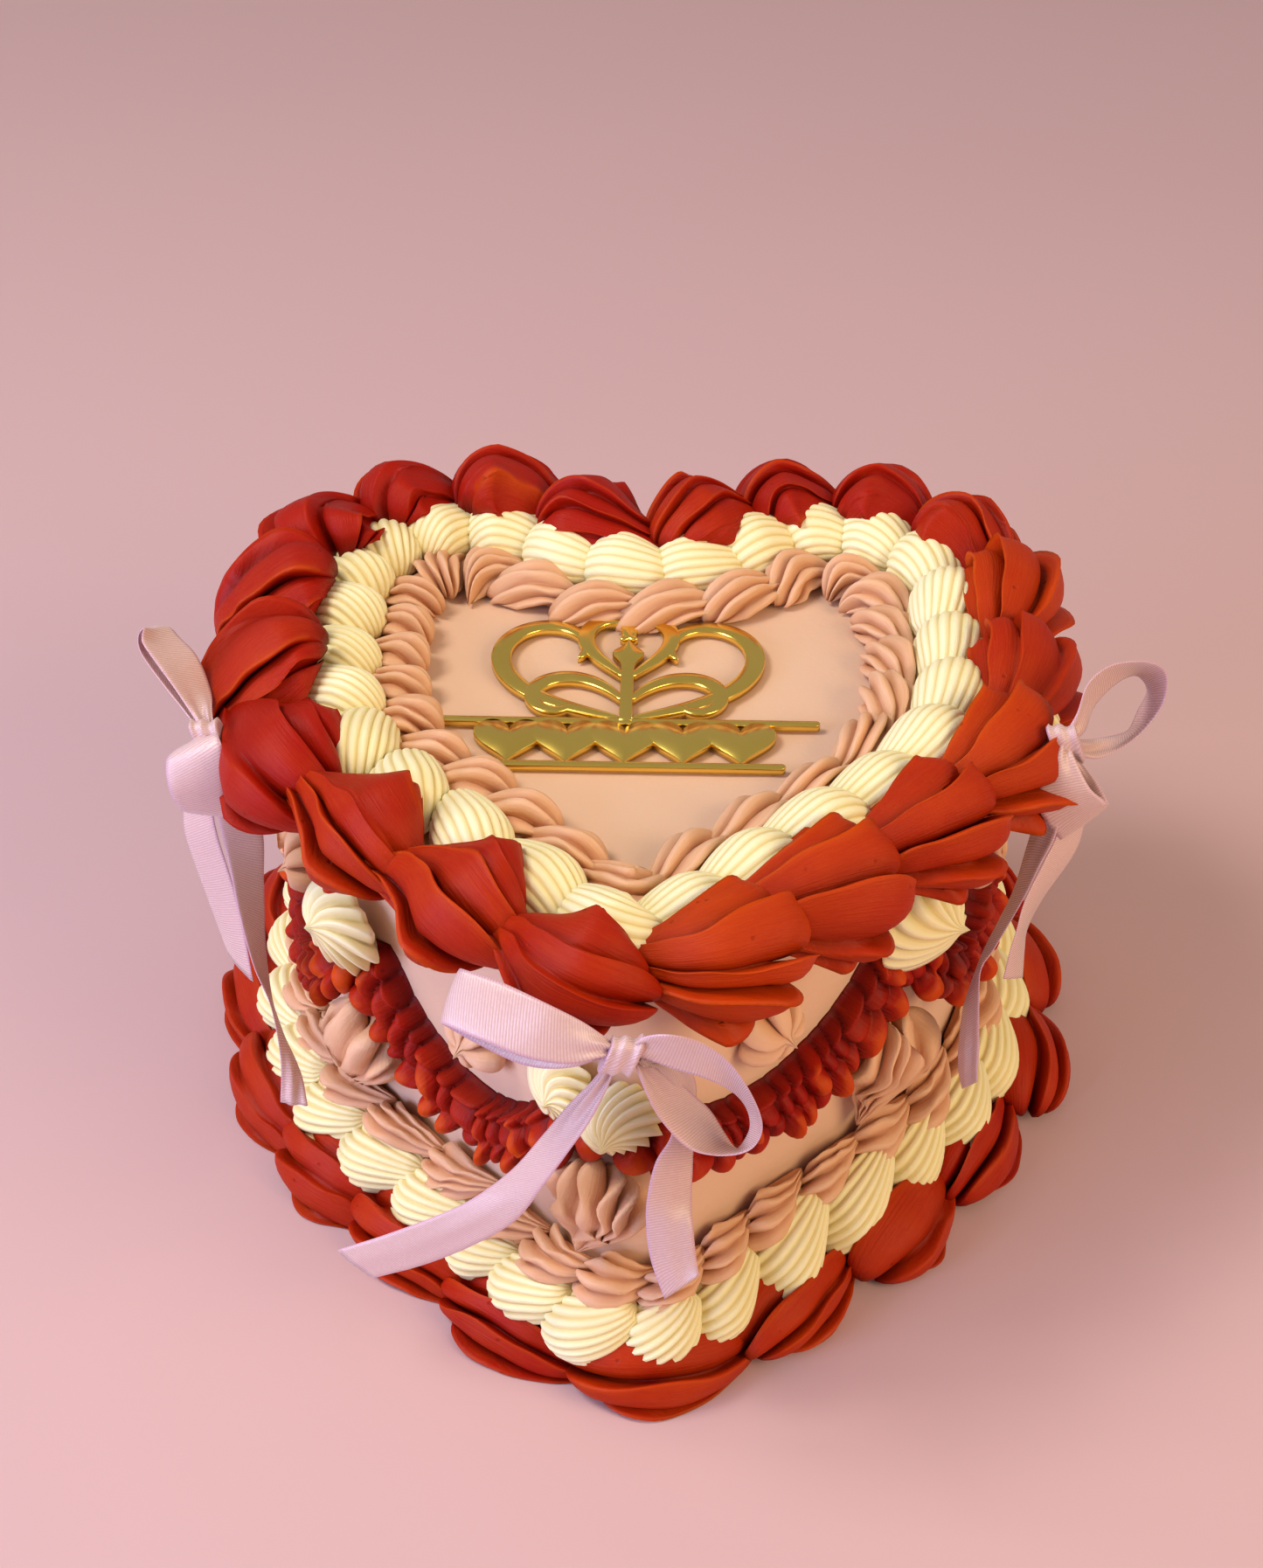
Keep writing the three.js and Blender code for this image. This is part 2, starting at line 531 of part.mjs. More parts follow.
const MATERIALS = {
  wall: () => icing(0xdcb096, 0.62),
  red: () => icing(0xb23a1e, 0.5),
  cream: () => icing(0xf3ecc0, 0.5),
  peach: () => icing(0xdba888, 0.55),
  satin: () => new THREE.MeshStandardMaterial({ color: 0xe6bfd0, roughness: 0.35, metalness: 0 }),
  gold: () => new THREE.MeshStandardMaterial({ color: 0x9c7e14, roughness: 0.15, metalness: 1 }),
};

// A named mesh whose own zero lies at `anchor`.
function namedMesh(name, solid, material, anchor) {
  const data = solid.getMesh();
  const geometry = new THREE.BufferGeometry();
  geometry.setAttribute('position', new THREE.BufferAttribute(new Float32Array(data.vertProperties), 3));
  geometry.setIndex(new THREE.BufferAttribute(new Uint32Array(data.triVerts), 1));
  geometry.translate(-anchor[0], -anchor[1], -anchor[2]);
  geometry.computeVertexNormals();
  const mesh = new THREE.Mesh(geometry, material);
  mesh.name = name;
  mesh.position.set(anchor[0], anchor[1], anchor[2]);
  return mesh;
}

function group(name, children) {
  const result = new THREE.Group();
  result.name = name;
  result.add(...children);
  return result;
}

const wall = makeTrack(0);
const core = finish(0.05, heartCore(0));
const coreGrown = heartCore(GAP);
const floor = floorBlock();

// Bows.
const bows = {};
const bowsGrown = [];
for (const [name, bow] of Object.entries(BOWS)) {
  bows[name] = finish(0.05, bowSolid(bow, 0), coreGrown);
  bowsGrown.push(bowSolid(bow, GAP));
}

// Pieces on the wall: every list holds name, solid and the solid grown by the gap.
function wallPieces(prefix, specs, build) {
  return specs.map((spec, i) => {
    const name = `${prefix}_${i + 1}`;
    return { name, spec, solid: build(spec, 0), grown: build(spec, GAP) };
  });
}

// Two stars sit side by side where the swags meet at the heart's point.
const creamSpecs = JOINTS.map(([s, z], i) => ({ s: s + (i === 1 ? 5 : 0), z: z - (i === 1 ? 1 : 0), k: i }));
creamSpecs.push({ s: -14, z: 94, k: 8 });
const creamStars = wallPieces('cream_star', creamSpecs, (spec, grow) => onWall(
  starGeometry(CREAM_STAR, grow), wall, spec.s, spec.z, GAP, -90 + 40 * draw(7, spec.k)));

const dabSpecs = DABS.map(([s, z, stand], k) => ({ s, z, stand, k }));
const dabs = wallPieces('cream_dab', dabSpecs, (spec, grow) => onWall(
  starGeometry(CREAM_DAB, grow), wall, spec.s, spec.z, spec.stand, 50 * draw(11, spec.k)));

const peachSpecs = JOINTS.map(([s], i) => {
  const next = i === JOINTS.length - 1 ? JOINTS[0][0] + wall.total : JOINTS[i + 1][0];
  return { s: (s + next) / 2 + 3 * draw(8, i), z: LOW_POINTS[i] + 25, k: i };
});
const peachStars = wallPieces('peach_star', peachSpecs, (spec, grow) => onWall(
  starGeometry(PEACH_STAR, grow), wall, spec.s, spec.z, GAP, 90 + 40 * draw(9, spec.k)));

const dropSpecs = JOINTS.map(([s, z], i) => ({ s: s + (i === 1 ? 2 : 0), z: z - (i === 1 ? 34 : 41), k: i }));
const drops = wallPieces('peach_drop', dropSpecs, (spec, grow) => onWall(
  shellGeometry(PEACH_DROP, grow), wall, spec.s, spec.z, PEACH_DROP.stand, 90 + 14 * draw(10, spec.k)));

const swagSpecs = JOINTS.map((joint, i) => i);
const swags = wallPieces('swag', swagSpecs, (i, grow) => solidFrom(swagGeometry(wall, i, grow)));

// Borders, each cleared of what it touches.
const topRedGrown = pipedRow(ROWS.topRed, GAP);
const topCreamGrown = pipedRow(ROWS.topCream, GAP);
const baseRedGrown = pipedRow(ROWS.baseRed, GAP);
const baseCreamGrown = pipedRow(ROWS.baseCream, GAP);
const basePeachGrown = pipedRow(ROWS.basePeach, GAP);

const topRed = finish(COARSE, pipedRow(ROWS.topRed, 0), coreGrown, ...bowsGrown);
const topCream = finish(COARSE, pipedRow(ROWS.topCream, 0), coreGrown, topRedGrown);
const topPeach = finish(COARSE, pipedRow(ROWS.topPeach, 0), coreGrown, topCreamGrown, ornamentSolid(GAP));
const ornament = finish(0.12, ornamentSolid(0));
const baseRed = finish(COARSE, pipedRow(ROWS.baseRed, 0), floor, coreGrown, ...bowsGrown);
const baseCream = finish(COARSE, pipedRow(ROWS.baseCream, 0), coreGrown, baseRedGrown, ...bowsGrown);
const basePeach = finish(COARSE, pipedRow(ROWS.basePeach, 0), coreGrown, baseCreamGrown, ...bowsGrown);

const meshes = {
  top: [
    namedMesh('top_red_border', topRed, MATERIALS.red(), [0, 0, CAKE_HEIGHT]),
    namedMesh('top_cream_border', topCream, MATERIALS.cream(), [0, 0, CAKE_HEIGHT]),
    namedMesh('top_peach_border', topPeach, MATERIALS.peach(), [0, 0, CAKE_HEIGHT]),
    namedMesh('ornament', ornament, MATERIALS.gold(), [ORNAMENT.x, ORNAMENT.ruleY, CAKE_HEIGHT]),
  ],
  base: [
    namedMesh('base_red_border', baseRed, MATERIALS.red(), [0, 0, 0]),
    namedMesh('base_cream_border', baseCream, MATERIALS.cream(), [0, 0, 0]),
    namedMesh('base_peach_border', basePeach, MATERIALS.peach(), [0, 0, 0]),
  ],
  side: [],
  bows: [],
};

function anchorOf(spec) {
  const place = wall.at(spec.s);
  return [place.position.x, place.position.y, spec.z];
}

creamStars.forEach((piece, i) => {
  const pair = i === 7 ? [creamStars[1].grown] : [];
  const solid = finish(FINE, piece.solid, core, topRedGrown, ...pair, ...bowsGrown);
  meshes.side.push(namedMesh(piece.name, solid, MATERIALS.cream(), anchorOf(piece.spec)));
});
for (const piece of dabs) {
  const solid = finish(FINE, piece.solid, coreGrown, topRedGrown, topCreamGrown, ...bowsGrown);
  meshes.side.push(namedMesh(piece.name, solid, MATERIALS.cream(), anchorOf(piece.spec)));
}
for (const piece of peachStars) {
  const solid = finish(FINE, piece.solid, core, topRedGrown, ...bowsGrown);
  meshes.side.push(namedMesh(piece.name, solid, MATERIALS.peach(), anchorOf(piece.spec)));
}
for (const piece of drops) {
  const solid = finish(FINE, piece.solid, coreGrown, basePeachGrown, ...bowsGrown);
  meshes.side.push(namedMesh(piece.name, solid, MATERIALS.peach(), anchorOf(piece.spec)));
}
const wallGrown = [...creamStars, ...peachStars, ...drops].map((piece) => piece.grown);
for (const piece of swags) {
  const solid = finish(FINE, piece.solid, core, topRedGrown, ...wallGrown, ...bowsGrown);
  meshes.side.push(namedMesh(piece.name, solid, MATERIALS.red(), [0, 0, 0]));
}
for (const [name, solid] of Object.entries(bows)) {
  meshes.bows.push(namedMesh(name, solid, MATERIALS.satin(), BOWS[name].knot));
}

const cake = group('heart_cake', [
  namedMesh('cake', core, MATERIALS.wall(), [0, 0, 0]),
  group('top_piping', meshes.top),
  group('base_piping', meshes.base),
  group('side_piping', meshes.side),
  group('ribbons', meshes.bows),
]);

export default cake;
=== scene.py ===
import bmesh
import bpy
import numpy as np
from mathutils import Matrix, Vector


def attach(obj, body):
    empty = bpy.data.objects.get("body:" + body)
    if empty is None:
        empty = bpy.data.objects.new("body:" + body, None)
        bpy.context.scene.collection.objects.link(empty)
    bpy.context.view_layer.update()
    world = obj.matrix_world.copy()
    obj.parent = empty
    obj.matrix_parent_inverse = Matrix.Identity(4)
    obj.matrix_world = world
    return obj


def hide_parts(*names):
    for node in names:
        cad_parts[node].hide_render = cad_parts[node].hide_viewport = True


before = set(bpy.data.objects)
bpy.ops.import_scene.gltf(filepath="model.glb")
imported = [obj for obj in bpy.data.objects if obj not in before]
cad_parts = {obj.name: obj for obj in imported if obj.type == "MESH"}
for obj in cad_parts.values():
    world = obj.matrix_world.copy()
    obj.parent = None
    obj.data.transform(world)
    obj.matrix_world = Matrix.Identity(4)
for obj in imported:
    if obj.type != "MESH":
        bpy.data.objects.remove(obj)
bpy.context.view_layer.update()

MM = 0.001
SAME_SPOT = 1e-7

# Camera: looks down on the heart's point from a little over half a metre away, as the photograph does.
camera_data = bpy.data.cameras.new("camera")
camera_data.lens = 60.2
camera_data.sensor_width = 36.0
camera = bpy.data.objects.new("camera", camera_data)
bpy.context.collection.objects.link(camera)
view_forward = Vector((-0.02055, 0.78468, -0.61957)).normalized()
view_right = Vector((0.99965, 0.02644, 0.00033)).normalized()
view_up = view_right.cross(view_forward).normalized()
view_turn = Matrix((view_right, view_up, -view_forward)).transposed().to_4x4()
camera.matrix_world = Matrix.Translation(Vector((11.4, -533.7, 520.3)) * MM) @ view_turn
bpy.context.scene.camera = camera


# Studio: a plain pale floor and soft lights, the main one high on the left, a cool one lower on the same side
# and a warm one on the right.
def soft_light(name, place, aim, size, power, colour):
    """A square area light of the given side in metres at a place, turned to face the aim point."""
    data = bpy.data.lights.new(name, "AREA")
    data.size = size
    data.energy = power
    data.color = colour
    lamp = bpy.data.objects.new(name, data)
    lamp.location = place
    lamp.rotation_euler = (Vector(aim) - Vector(place)).to_track_quat("-Z", "Y").to_euler()
    bpy.context.collection.objects.link(lamp)


soft_light("key", (-0.75, -0.1, 1.25), (0, 0, 0.08), 0.45, 11.4, (1.0, 0.94, 0.86))
soft_light("left_fill", (-1.1, -0.8, 0.45), (0, 0, 0.05), 0.8, 13.5, (0.54, 0.62, 1.0))
soft_light("lilac_wash", (-0.95, -0.55, 0.4), (-0.35, -0.25, 0), 0.5, 2.5, (0.5, 0.56, 1.0))
soft_light("right_fill", (1.0, -0.7, 0.8), (0, 0, 0.05), 0.8, 12.0, (1.0, 0.74, 0.42))

world = bpy.data.worlds.new("studio")
world.use_nodes = True
world.node_tree.nodes["Background"].inputs["Color"].default_value = (0.90, 0.84, 0.83, 1)
world.node_tree.nodes["Background"].inputs["Strength"].default_value = 0.42
bpy.context.scene.world = world
bpy.context.scene.view_settings.view_transform = "Standard"


# Shader values: a formula on them adds its Math nodes, and everything else comes from Paint.node.
class Value:
    """One shader socket that adds, multiplies and compares like a number."""

    def __init__(self, tree, socket):
        self.tree = tree
        self.socket = socket

    def math(self, operation, *others):
        node = self.tree.nodes.new("ShaderNodeMath")
        node.operation = operation
        for slot, item in zip(node.inputs, (self, *others)):
            feed(self.tree, slot, item)
        return Value(self.tree, node.outputs[0])

    def __add__(self, other):
        return self.math("ADD", other)

    def __sub__(self, other):
        return self.math("SUBTRACT", other)

    def __mul__(self, other):
        return self.math("MULTIPLY", other)

    def __rsub__(self, other):
        return self * -1.0 + other

    __radd__ = __add__
    __rmul__ = __mul__

    def clamp(self):
        return self.math("MINIMUM", 1.0).math("MAXIMUM", 0.0)


def feed(tree, slot, item):
    """Links a Value, or sets a number, colour or vector, on a socket."""
    if isinstance(item, Value):
        tree.links.new(item.socket, slot)
    else:
        slot.default_value = item


class Paint:
    """One procedural material: a Principled shader and the nodes that feed it."""

    def __init__(self, name, **shader):
        self.material = bpy.data.materials.new(name)
        self.material.use_nodes = True
        self.tree = self.material.node_tree
        self.tree.nodes.clear()
        output = self.tree.nodes.new("ShaderNodeOutputMaterial")
        self.shader = self.tree.nodes.new("ShaderNodeBsdfPrincipled")
        self.tree.links.new(self.shader.outputs[0], output.inputs["Surface"])
        self.set(**shader)

    def set(self, **shader):
        """Sets or links sockets of the Principled shader, named with _ for each space."""
        for key, item in shader.items():
            feed(self.tree, self.shader.inputs[key.replace("_", " ")], item)

    def node(self, kind, settings, sockets, out=0):
        """Any other node: its settings first, then its sockets, giving one output as a Value."""
        node = self.tree.nodes.new(kind)
        for key, item in settings.items():
            setattr(node, key, item)
        for key, item in sockets.items():
            feed(self.tree, node.inputs[key], item)
        return Value(self.tree, node.outputs[out])

    def attribute(self, name):
        return self.node("ShaderNodeAttribute", {"attribute_name": name}, {}, "Fac")

    def place(self):
        return self.node("ShaderNodeTexCoord", {}, {}, "Object")

    def pattern_place(self, stretch):
        """The piece's own UV map, stretched by three factors."""
        flat = self.node("ShaderNodeUVMap", {}, {})
        return self.node("ShaderNodeVectorMath", {"operation": "MULTIPLY"}, {0: flat, 1: stretch})

    def noise(self, place, scale, detail=2.0, rough=0.5):
        sockets = {"Vector": place, "Scale": scale, "Detail": detail, "Roughness": rough}
        return self.node("ShaderNodeTexNoise", {}, sockets)

    def blend(self, factor, first, second):
        """Colour mix: first where the factor is 0 and second where it is 1."""
        return self.node("ShaderNodeMix", {"data_type": "RGBA"}, {0: factor, 6: first, 7: second}, 2)

    def relief(self, height, depth, strength=1.0):
        """Bump of a height of 0 to 1 that stands for depth metres."""
        sockets = {"Height": height, "Distance": depth, "Strength": strength}
        self.set(Normal=self.node("ShaderNodeBump", {}, sockets))


def linear(red, green, blue):
    """Display colour of 0 to 255 as the linear colour a shader takes."""
    part = np.array([red, green, blue]) / 255
    value = np.where(part <= 0.04045, part / 12.92, ((part + 0.055) / 1.055) ** 2.4)
    return (*(float(v) for v in value), 1.0)


floor_paint = Paint("pale_floor", Roughness=0.85)
floor_grain = floor_paint.noise(floor_paint.place(), 3.0)
floor_paint.set(Base_Color=floor_paint.blend(floor_grain, linear(204, 168, 170), linear(207, 171, 172)))
floor_mesh = bpy.data.meshes.new("floor")
floor_mesh.from_pydata([(-4, -4, 0), (4, -4, 0), (4, 4, 0), (-4, 4, 0)], [], [(0, 1, 2, 3)])
floor = bpy.data.objects.new("floor", floor_mesh)
floor.data.materials.append(floor_paint.material)
bpy.context.collection.objects.link(floor)

# Iced heart: three layers of sponge under one coat of pale peach buttercream, scraped smooth with a straight
# edge that leaves the wall and the top very slightly uneven. The uncut cake is one body.
HALF_WIDTH = 89
LOBE_RADIUS = 41
LOBE_Y = 43
NOTCH_RADIUS = 34
SHOULDER_RADIUS = 90
POINT_RADIUS = 20
POINT_Y = -102
SIDE_ANGLE = np.radians(45)
MIDDLE_Y = -9
CAKE_HEIGHT = 122
TOP_EDGE_ROUND = 3


def arc(centre, radius, start, end, side=1):
    """Points of an arc about 1 mm apart, each followed by its outward direction; side -1 turns it inwards."""
    count = max(3, int(abs(end - start) * radius) + 1)
    angle = np.linspace(start, end, count)
    out = np.stack([np.cos(angle), np.sin(angle)], 1)
    return np.hstack([np.array(centre) + radius * out, out * side])


def heart_outline(offset):
    """The heart's plan set off outwards: a round point, straight sides, broad shoulders, two lobes and the
    notch between them, each an arc; the left half mirrors the right. Rows are x, y and the outward
    direction."""
    point_radius = max(POINT_RADIUS + offset, 3)
    apex = POINT_Y + POINT_RADIUS - (POINT_RADIUS + offset) / np.cos(SIDE_ANGLE)
    point_y = apex + point_radius / np.cos(SIDE_ANGLE)
    start = np.array([point_radius * np.sin(SIDE_ANGLE), point_y - point_radius * np.cos(SIDE_ANGLE)])
    shoulder = SHOULDER_RADIUS + offset
    shoulder_x = HALF_WIDTH + offset - shoulder
    end_x = shoulder_x + shoulder * np.sin(SIDE_ANGLE)
    shoulder_y = start[1] + (end_x - start[0]) * np.tan(SIDE_ANGLE) + shoulder * np.cos(SIDE_ANGLE)
    lobe_x = HALF_WIDTH - LOBE_RADIUS
    notch_y = LOBE_Y + np.sqrt((LOBE_RADIUS + NOTCH_RADIUS) ** 2 - lobe_x ** 2)
    meet = np.arctan2(notch_y - LOBE_Y, -lobe_x)
    quarter = np.pi / 2
    right = np.vstack([
        arc((0, point_y), point_radius, -quarter, SIDE_ANGLE - quarter),
        arc((shoulder_x, shoulder_y), shoulder, SIDE_ANGLE - quarter, 0),
        arc((lobe_x, LOBE_Y), LOBE_RADIUS + offset, 0, meet),
        arc((0, notch_y), NOTCH_RADIUS - offset, meet - np.pi, -quarter, -1)[1:],
    ])
    left = right[1:-1][::-1] * np.array([-1, 1, -1, 1])
    return np.vstack([right, left])


def heart_track(offset, squeeze=1.0):
    """Walks round the heart: a function of distance in mm from the point, anticlockwise, that gives the place
    and the outward direction as arrays, and the length of one round."""
    rows = heart_outline(offset)
    rows = np.vstack([rows, rows[:1]])
    rows[:, 1] = MIDDLE_Y + (rows[:, 1] - MIDDLE_Y) * squeeze
    steps = np.hypot(*np.diff(rows[:, :2], axis=0).T)
    distance = np.concatenate([[0], np.cumsum(steps)])
    total = distance[-1]

    def at(wanted):
        wanted = np.mod(wanted, total)
        x, y, out_x, out_y = (np.interp(wanted, distance, rows[:, i]) for i in range(4))
        size = np.hypot(out_x, out_y)
        flat = np.zeros_like(x)
        return np.stack([x, y, flat], -1), np.stack([out_x / size, out_y / size, flat], -1)

    return at, total


def faced_out(points, quads):
    """The quads of closed parts that all turn one way, turned over where their signed volume is negative."""
    a, b, c, d = np.moveaxis(points[quads] - points.mean(0), 1, 0)
    volume = (np.cross(a, b) * c).sum() + (np.cross(a, c) * d).sum()
    return quads if volume > 0 else quads[:, ::-1]


def mesh_piece(name, points, faces, paint, slot, node, uv=None, values=None):
    """A smooth shaded piece from points in mm and faces, with an optional UV map and vertex values per point.
    Points on one spot, as at a pole, become one. It rides on the cake and stands for a CAD node."""
    mesh = bpy.data.meshes.new(name)
    mesh.from_pydata((points * MM).tolist(), [], faces if isinstance(faces, list) else faces.tolist())
    mesh.polygons.foreach_set("use_smooth", np.ones(len(mesh.polygons), bool))
    corners = np.empty(len(mesh.loops), np.int32)
    mesh.loops.foreach_get("vertex_index", corners)
    if uv is not None:
        mesh.uv_layers.new(name="pattern").data.foreach_set("uv", uv[corners].ravel().astype(np.float32))
    for key, value in (values or {}).items():
        mesh.attributes.new(key, "FLOAT", "POINT").data.foreach_set("value", value.astype(np.float32))
    welded = bmesh.new()
    welded.from_mesh(mesh)
    bmesh.ops.remove_doubles(welded, verts=welded.verts, dist=SAME_SPOT)
    welded.to_mesh(mesh)
    welded.free()
    mesh.validate()
    mesh.materials.append(paint.material)
    piece = bpy.data.objects.new(name, mesh)
    bpy.context.collection.objects.link(piece)
    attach(piece, "root")
    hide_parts(node)
    return piece


def grid_faces(rows, columns, start=0):
    """Quads of a grid whose points run along each row, the last column joined to the first."""
    row, column = np.meshgrid(np.arange(rows - 1), np.arange(columns), indexing="ij")
    following = (column + 1) % columns
    quads = [row * columns + column, row * columns + following]
    quads += [(row + 1) * columns + following, (row + 1) * columns + column]
    return np.stack(quads, -1).reshape(-1, 4) + start


def wavering(points, size, reach, seed):
    """Smooth unevenness: a sum of six waves of about the given size in mm, each with a drawn direction, that
    moves no point further than reach."""
    draw = np.random.default_rng(seed)
    total = np.zeros(points.shape[:-1])
    for _ in range(6):
        way = draw.normal(size=3)
        way /= np.linalg.norm(way) * size / (2 * np.pi) * draw.uniform(0.7, 1.5)
        total += np.sin(points @ way + draw.uniform(0, 6.3)) / 6
    return total * reach


WALL_STEP = 2.0
WALL_RINGS = 40
EDGE_RINGS = 4
TOP_RINGS = 25
heart_at, heart_total = heart_track(0)
around = np.arange(0, heart_total, WALL_STEP)
wall_place, wall_out = heart_at(around)
section = [(0, 0.0)] + [(0, z) for z in np.linspace(2, CAKE_HEIGHT - TOP_EDGE_ROUND, WALL_RINGS)]
for turn in np.linspace(0, np.pi / 2, EDGE_RINGS + 1)[1:]:
    section.append((TOP_EDGE_ROUND * (np.cos(turn) - 1), CAKE_HEIGHT + TOP_EDGE_ROUND * (np.sin(turn) - 1)))
rings = []
for inset, height in section:
    ring = wall_place + wall_out * inset
    ring[:, 2] = height
    rings.append(ring)
heart_middle = np.array([0, MIDDLE_Y, 0])
for share in np.linspace(0.93, 0.0, TOP_RINGS + 1)[:-1]:
    ring = heart_middle + (rings[len(section) - 1] - heart_middle) * share
    ring[:, 2] = CAKE_HEIGHT
    rings.append(ring)
heart_points = np.concatenate(rings)
unevenness = wavering(heart_points, 45, 0.35, 3) + wavering(heart_points, 14, 0.1, 4) - 0.35
columns = len(around)
is_wall = np.repeat(np.arange(len(rings)) < len(section), columns)
aside = unevenness[:, None] * np.tile(wall_out[:, :2], (len(rings), 1))
heart_points[:, :2] += np.where(is_wall[:, None], aside, 0)
heart_points[:, 2] += np.where(is_wall, 0, unevenness)
heart_points = np.vstack([heart_points, [0, MIDDLE_Y, CAKE_HEIGHT - 0.3], [0, MIDDLE_Y, 0]])
heart_faces = grid_faces(len(rings), columns)
last_ring = (len(rings) - 1) * columns + np.arange(columns)
top_pole = len(heart_points) - 2
top_fan = np.stack([last_ring, np.roll(last_ring, -1), np.full(columns, top_pole)], 1)
under_fan = np.stack([np.roll(np.arange(columns), -1), np.arange(columns), np.full(columns, top_pole + 1)], 1)
heart_faces = heart_faces.tolist() + top_fan.tolist() + under_fan.tolist()

wall_paint = Paint("smooth_peach_coat", Roughness=0.5, Specular_IOR_Level=0.35, Subsurface_Weight=0.12,
                   Subsurface_Scale=0.004)
coat_place = wall_paint.place()
coat_cloud = wall_paint.noise(coat_place, 22.0, 3.0)
coat_stretch = wall_paint.node("ShaderNodeMapping", {}, {"Vector": coat_place, "Scale": (1.0, 1.0, 6.0)})
coat_marks = wall_paint.noise(coat_stretch, 90.0, 3.0)
wall_paint.set(Base_Color=wall_paint.blend(coat_cloud, linear(219, 180, 150), linear(225, 188, 160)),
               Roughness=0.46 + 0.12 * coat_marks)
wall_paint.relief(coat_marks * 0.7 + wall_paint.noise(coat_place, 700.0) * 0.3, 0.0006, 0.35)
mesh_piece("heart_coat", heart_points, heart_faces, wall_paint, "wall_icing", "cake")

# Top red border: deep orange red buttercream pressed through a wide open star tip, each shell pressed out at
# its head and pulled clockwise to a thin tail that the next head covers, so broad blades lap over each other.


def shell_bounds(places, pitch, total):
    """Where each shell begins round the row: half way between the measured middles, with shells about a pitch
    apart filling the part of the row that was not measured."""
    left = places[0] + total - places[-1]
    extra = int(left / pitch + 0.5) - 1
    added = [places[-1] + left * i / (extra + 1) for i in range(1, extra + 1)]
    middles = np.array(list(places) + added, float)
    bounds = (middles + np.concatenate([[middles[-1] - total], middles[:-1]])) / 2
    return np.append(bounds, bounds[0] + total)


def blade_columns(blades, crest, hollow=0.62, widen=1.0):
    """Columns of broad blades. Across each, from 0 to 1, a face climbs from the valley to a thin edge at the
    crest, and a back falls to the next valley, by the hollow's share of its depth at once behind the edge.
    Gives the place of each column round the section, how deep in the valley it is, how far the edge laps over
    the valley before it, and how far its round tip reaches at the head. A widen above 1 makes the blades on
    the outer side the broader ones."""
    share = np.array([0, 0.08, 0.16, 0.23, 0.27, 0.3, 0.33, 0.37, 0.42, 0.5, 0.6, 0.7, 0.8, 0.9, 0.96])
    climb = np.clip((crest - share) / crest, 0, 1) ** 0.85
    fall = np.clip((share - crest) / (1 - crest), 0, 1)
    valley = np.where(share < crest, climb, hollow * fall ** 0.55 + (1 - hollow) * fall ** 3)
    lap = -np.exp(-((share - crest) / 0.16) ** 2)
    place = ((np.arange(blades)[:, None] + share).ravel() / blades) ** widen
    tip = np.sin(np.pi * share) ** 0.6
    return place, np.tile(valley, blades), np.tile(lap, blades) / blades, np.tile(tip, blades)


def ridge_columns(ridges, width):
    """Columns of round ridges with narrow valleys between them; width is how much of a ridge is round."""
    share = np.array([0, 0.14, 0.36, 0.64, 0.86] if ridges >= 9 else [0, 0.1, 0.24, 0.42, 0.6, 0.78, 0.9])
    valley = np.abs(2 * share - 1) ** width
    place = (np.arange(ridges)[:, None] + share).ravel() / ridges
    return place, np.tile(valley, ridges), np.zeros(len(place)), np.tile(np.sin(np.pi * share) ** 0.8, ridges)


# Shell defaults. painted_light_and_shade is painted light added to each shell's tint value; rows may set it
# by place.
SHELL = {"tilt": 0, "lap": 0, "stub": 0, "hook": 0, "plain": 1, "uneven": 0.06, "flutter": 0, "full": 0.36,
         "taper": 1.6, "settle": 0.2, "scallop": 0, "merge": 1, "blades": 1, "shift": 0, "squeeze": 1,
         "painted_light_and_shade": 0.15, "round": 0, "turned": []}
UNDER = 6
CURL_SHARE = 0.42
HEAD_LEAN = np.radians(72)
TAIL_LEAN = np.radians(14)
FLOOR_SOFTNESS = 0.36


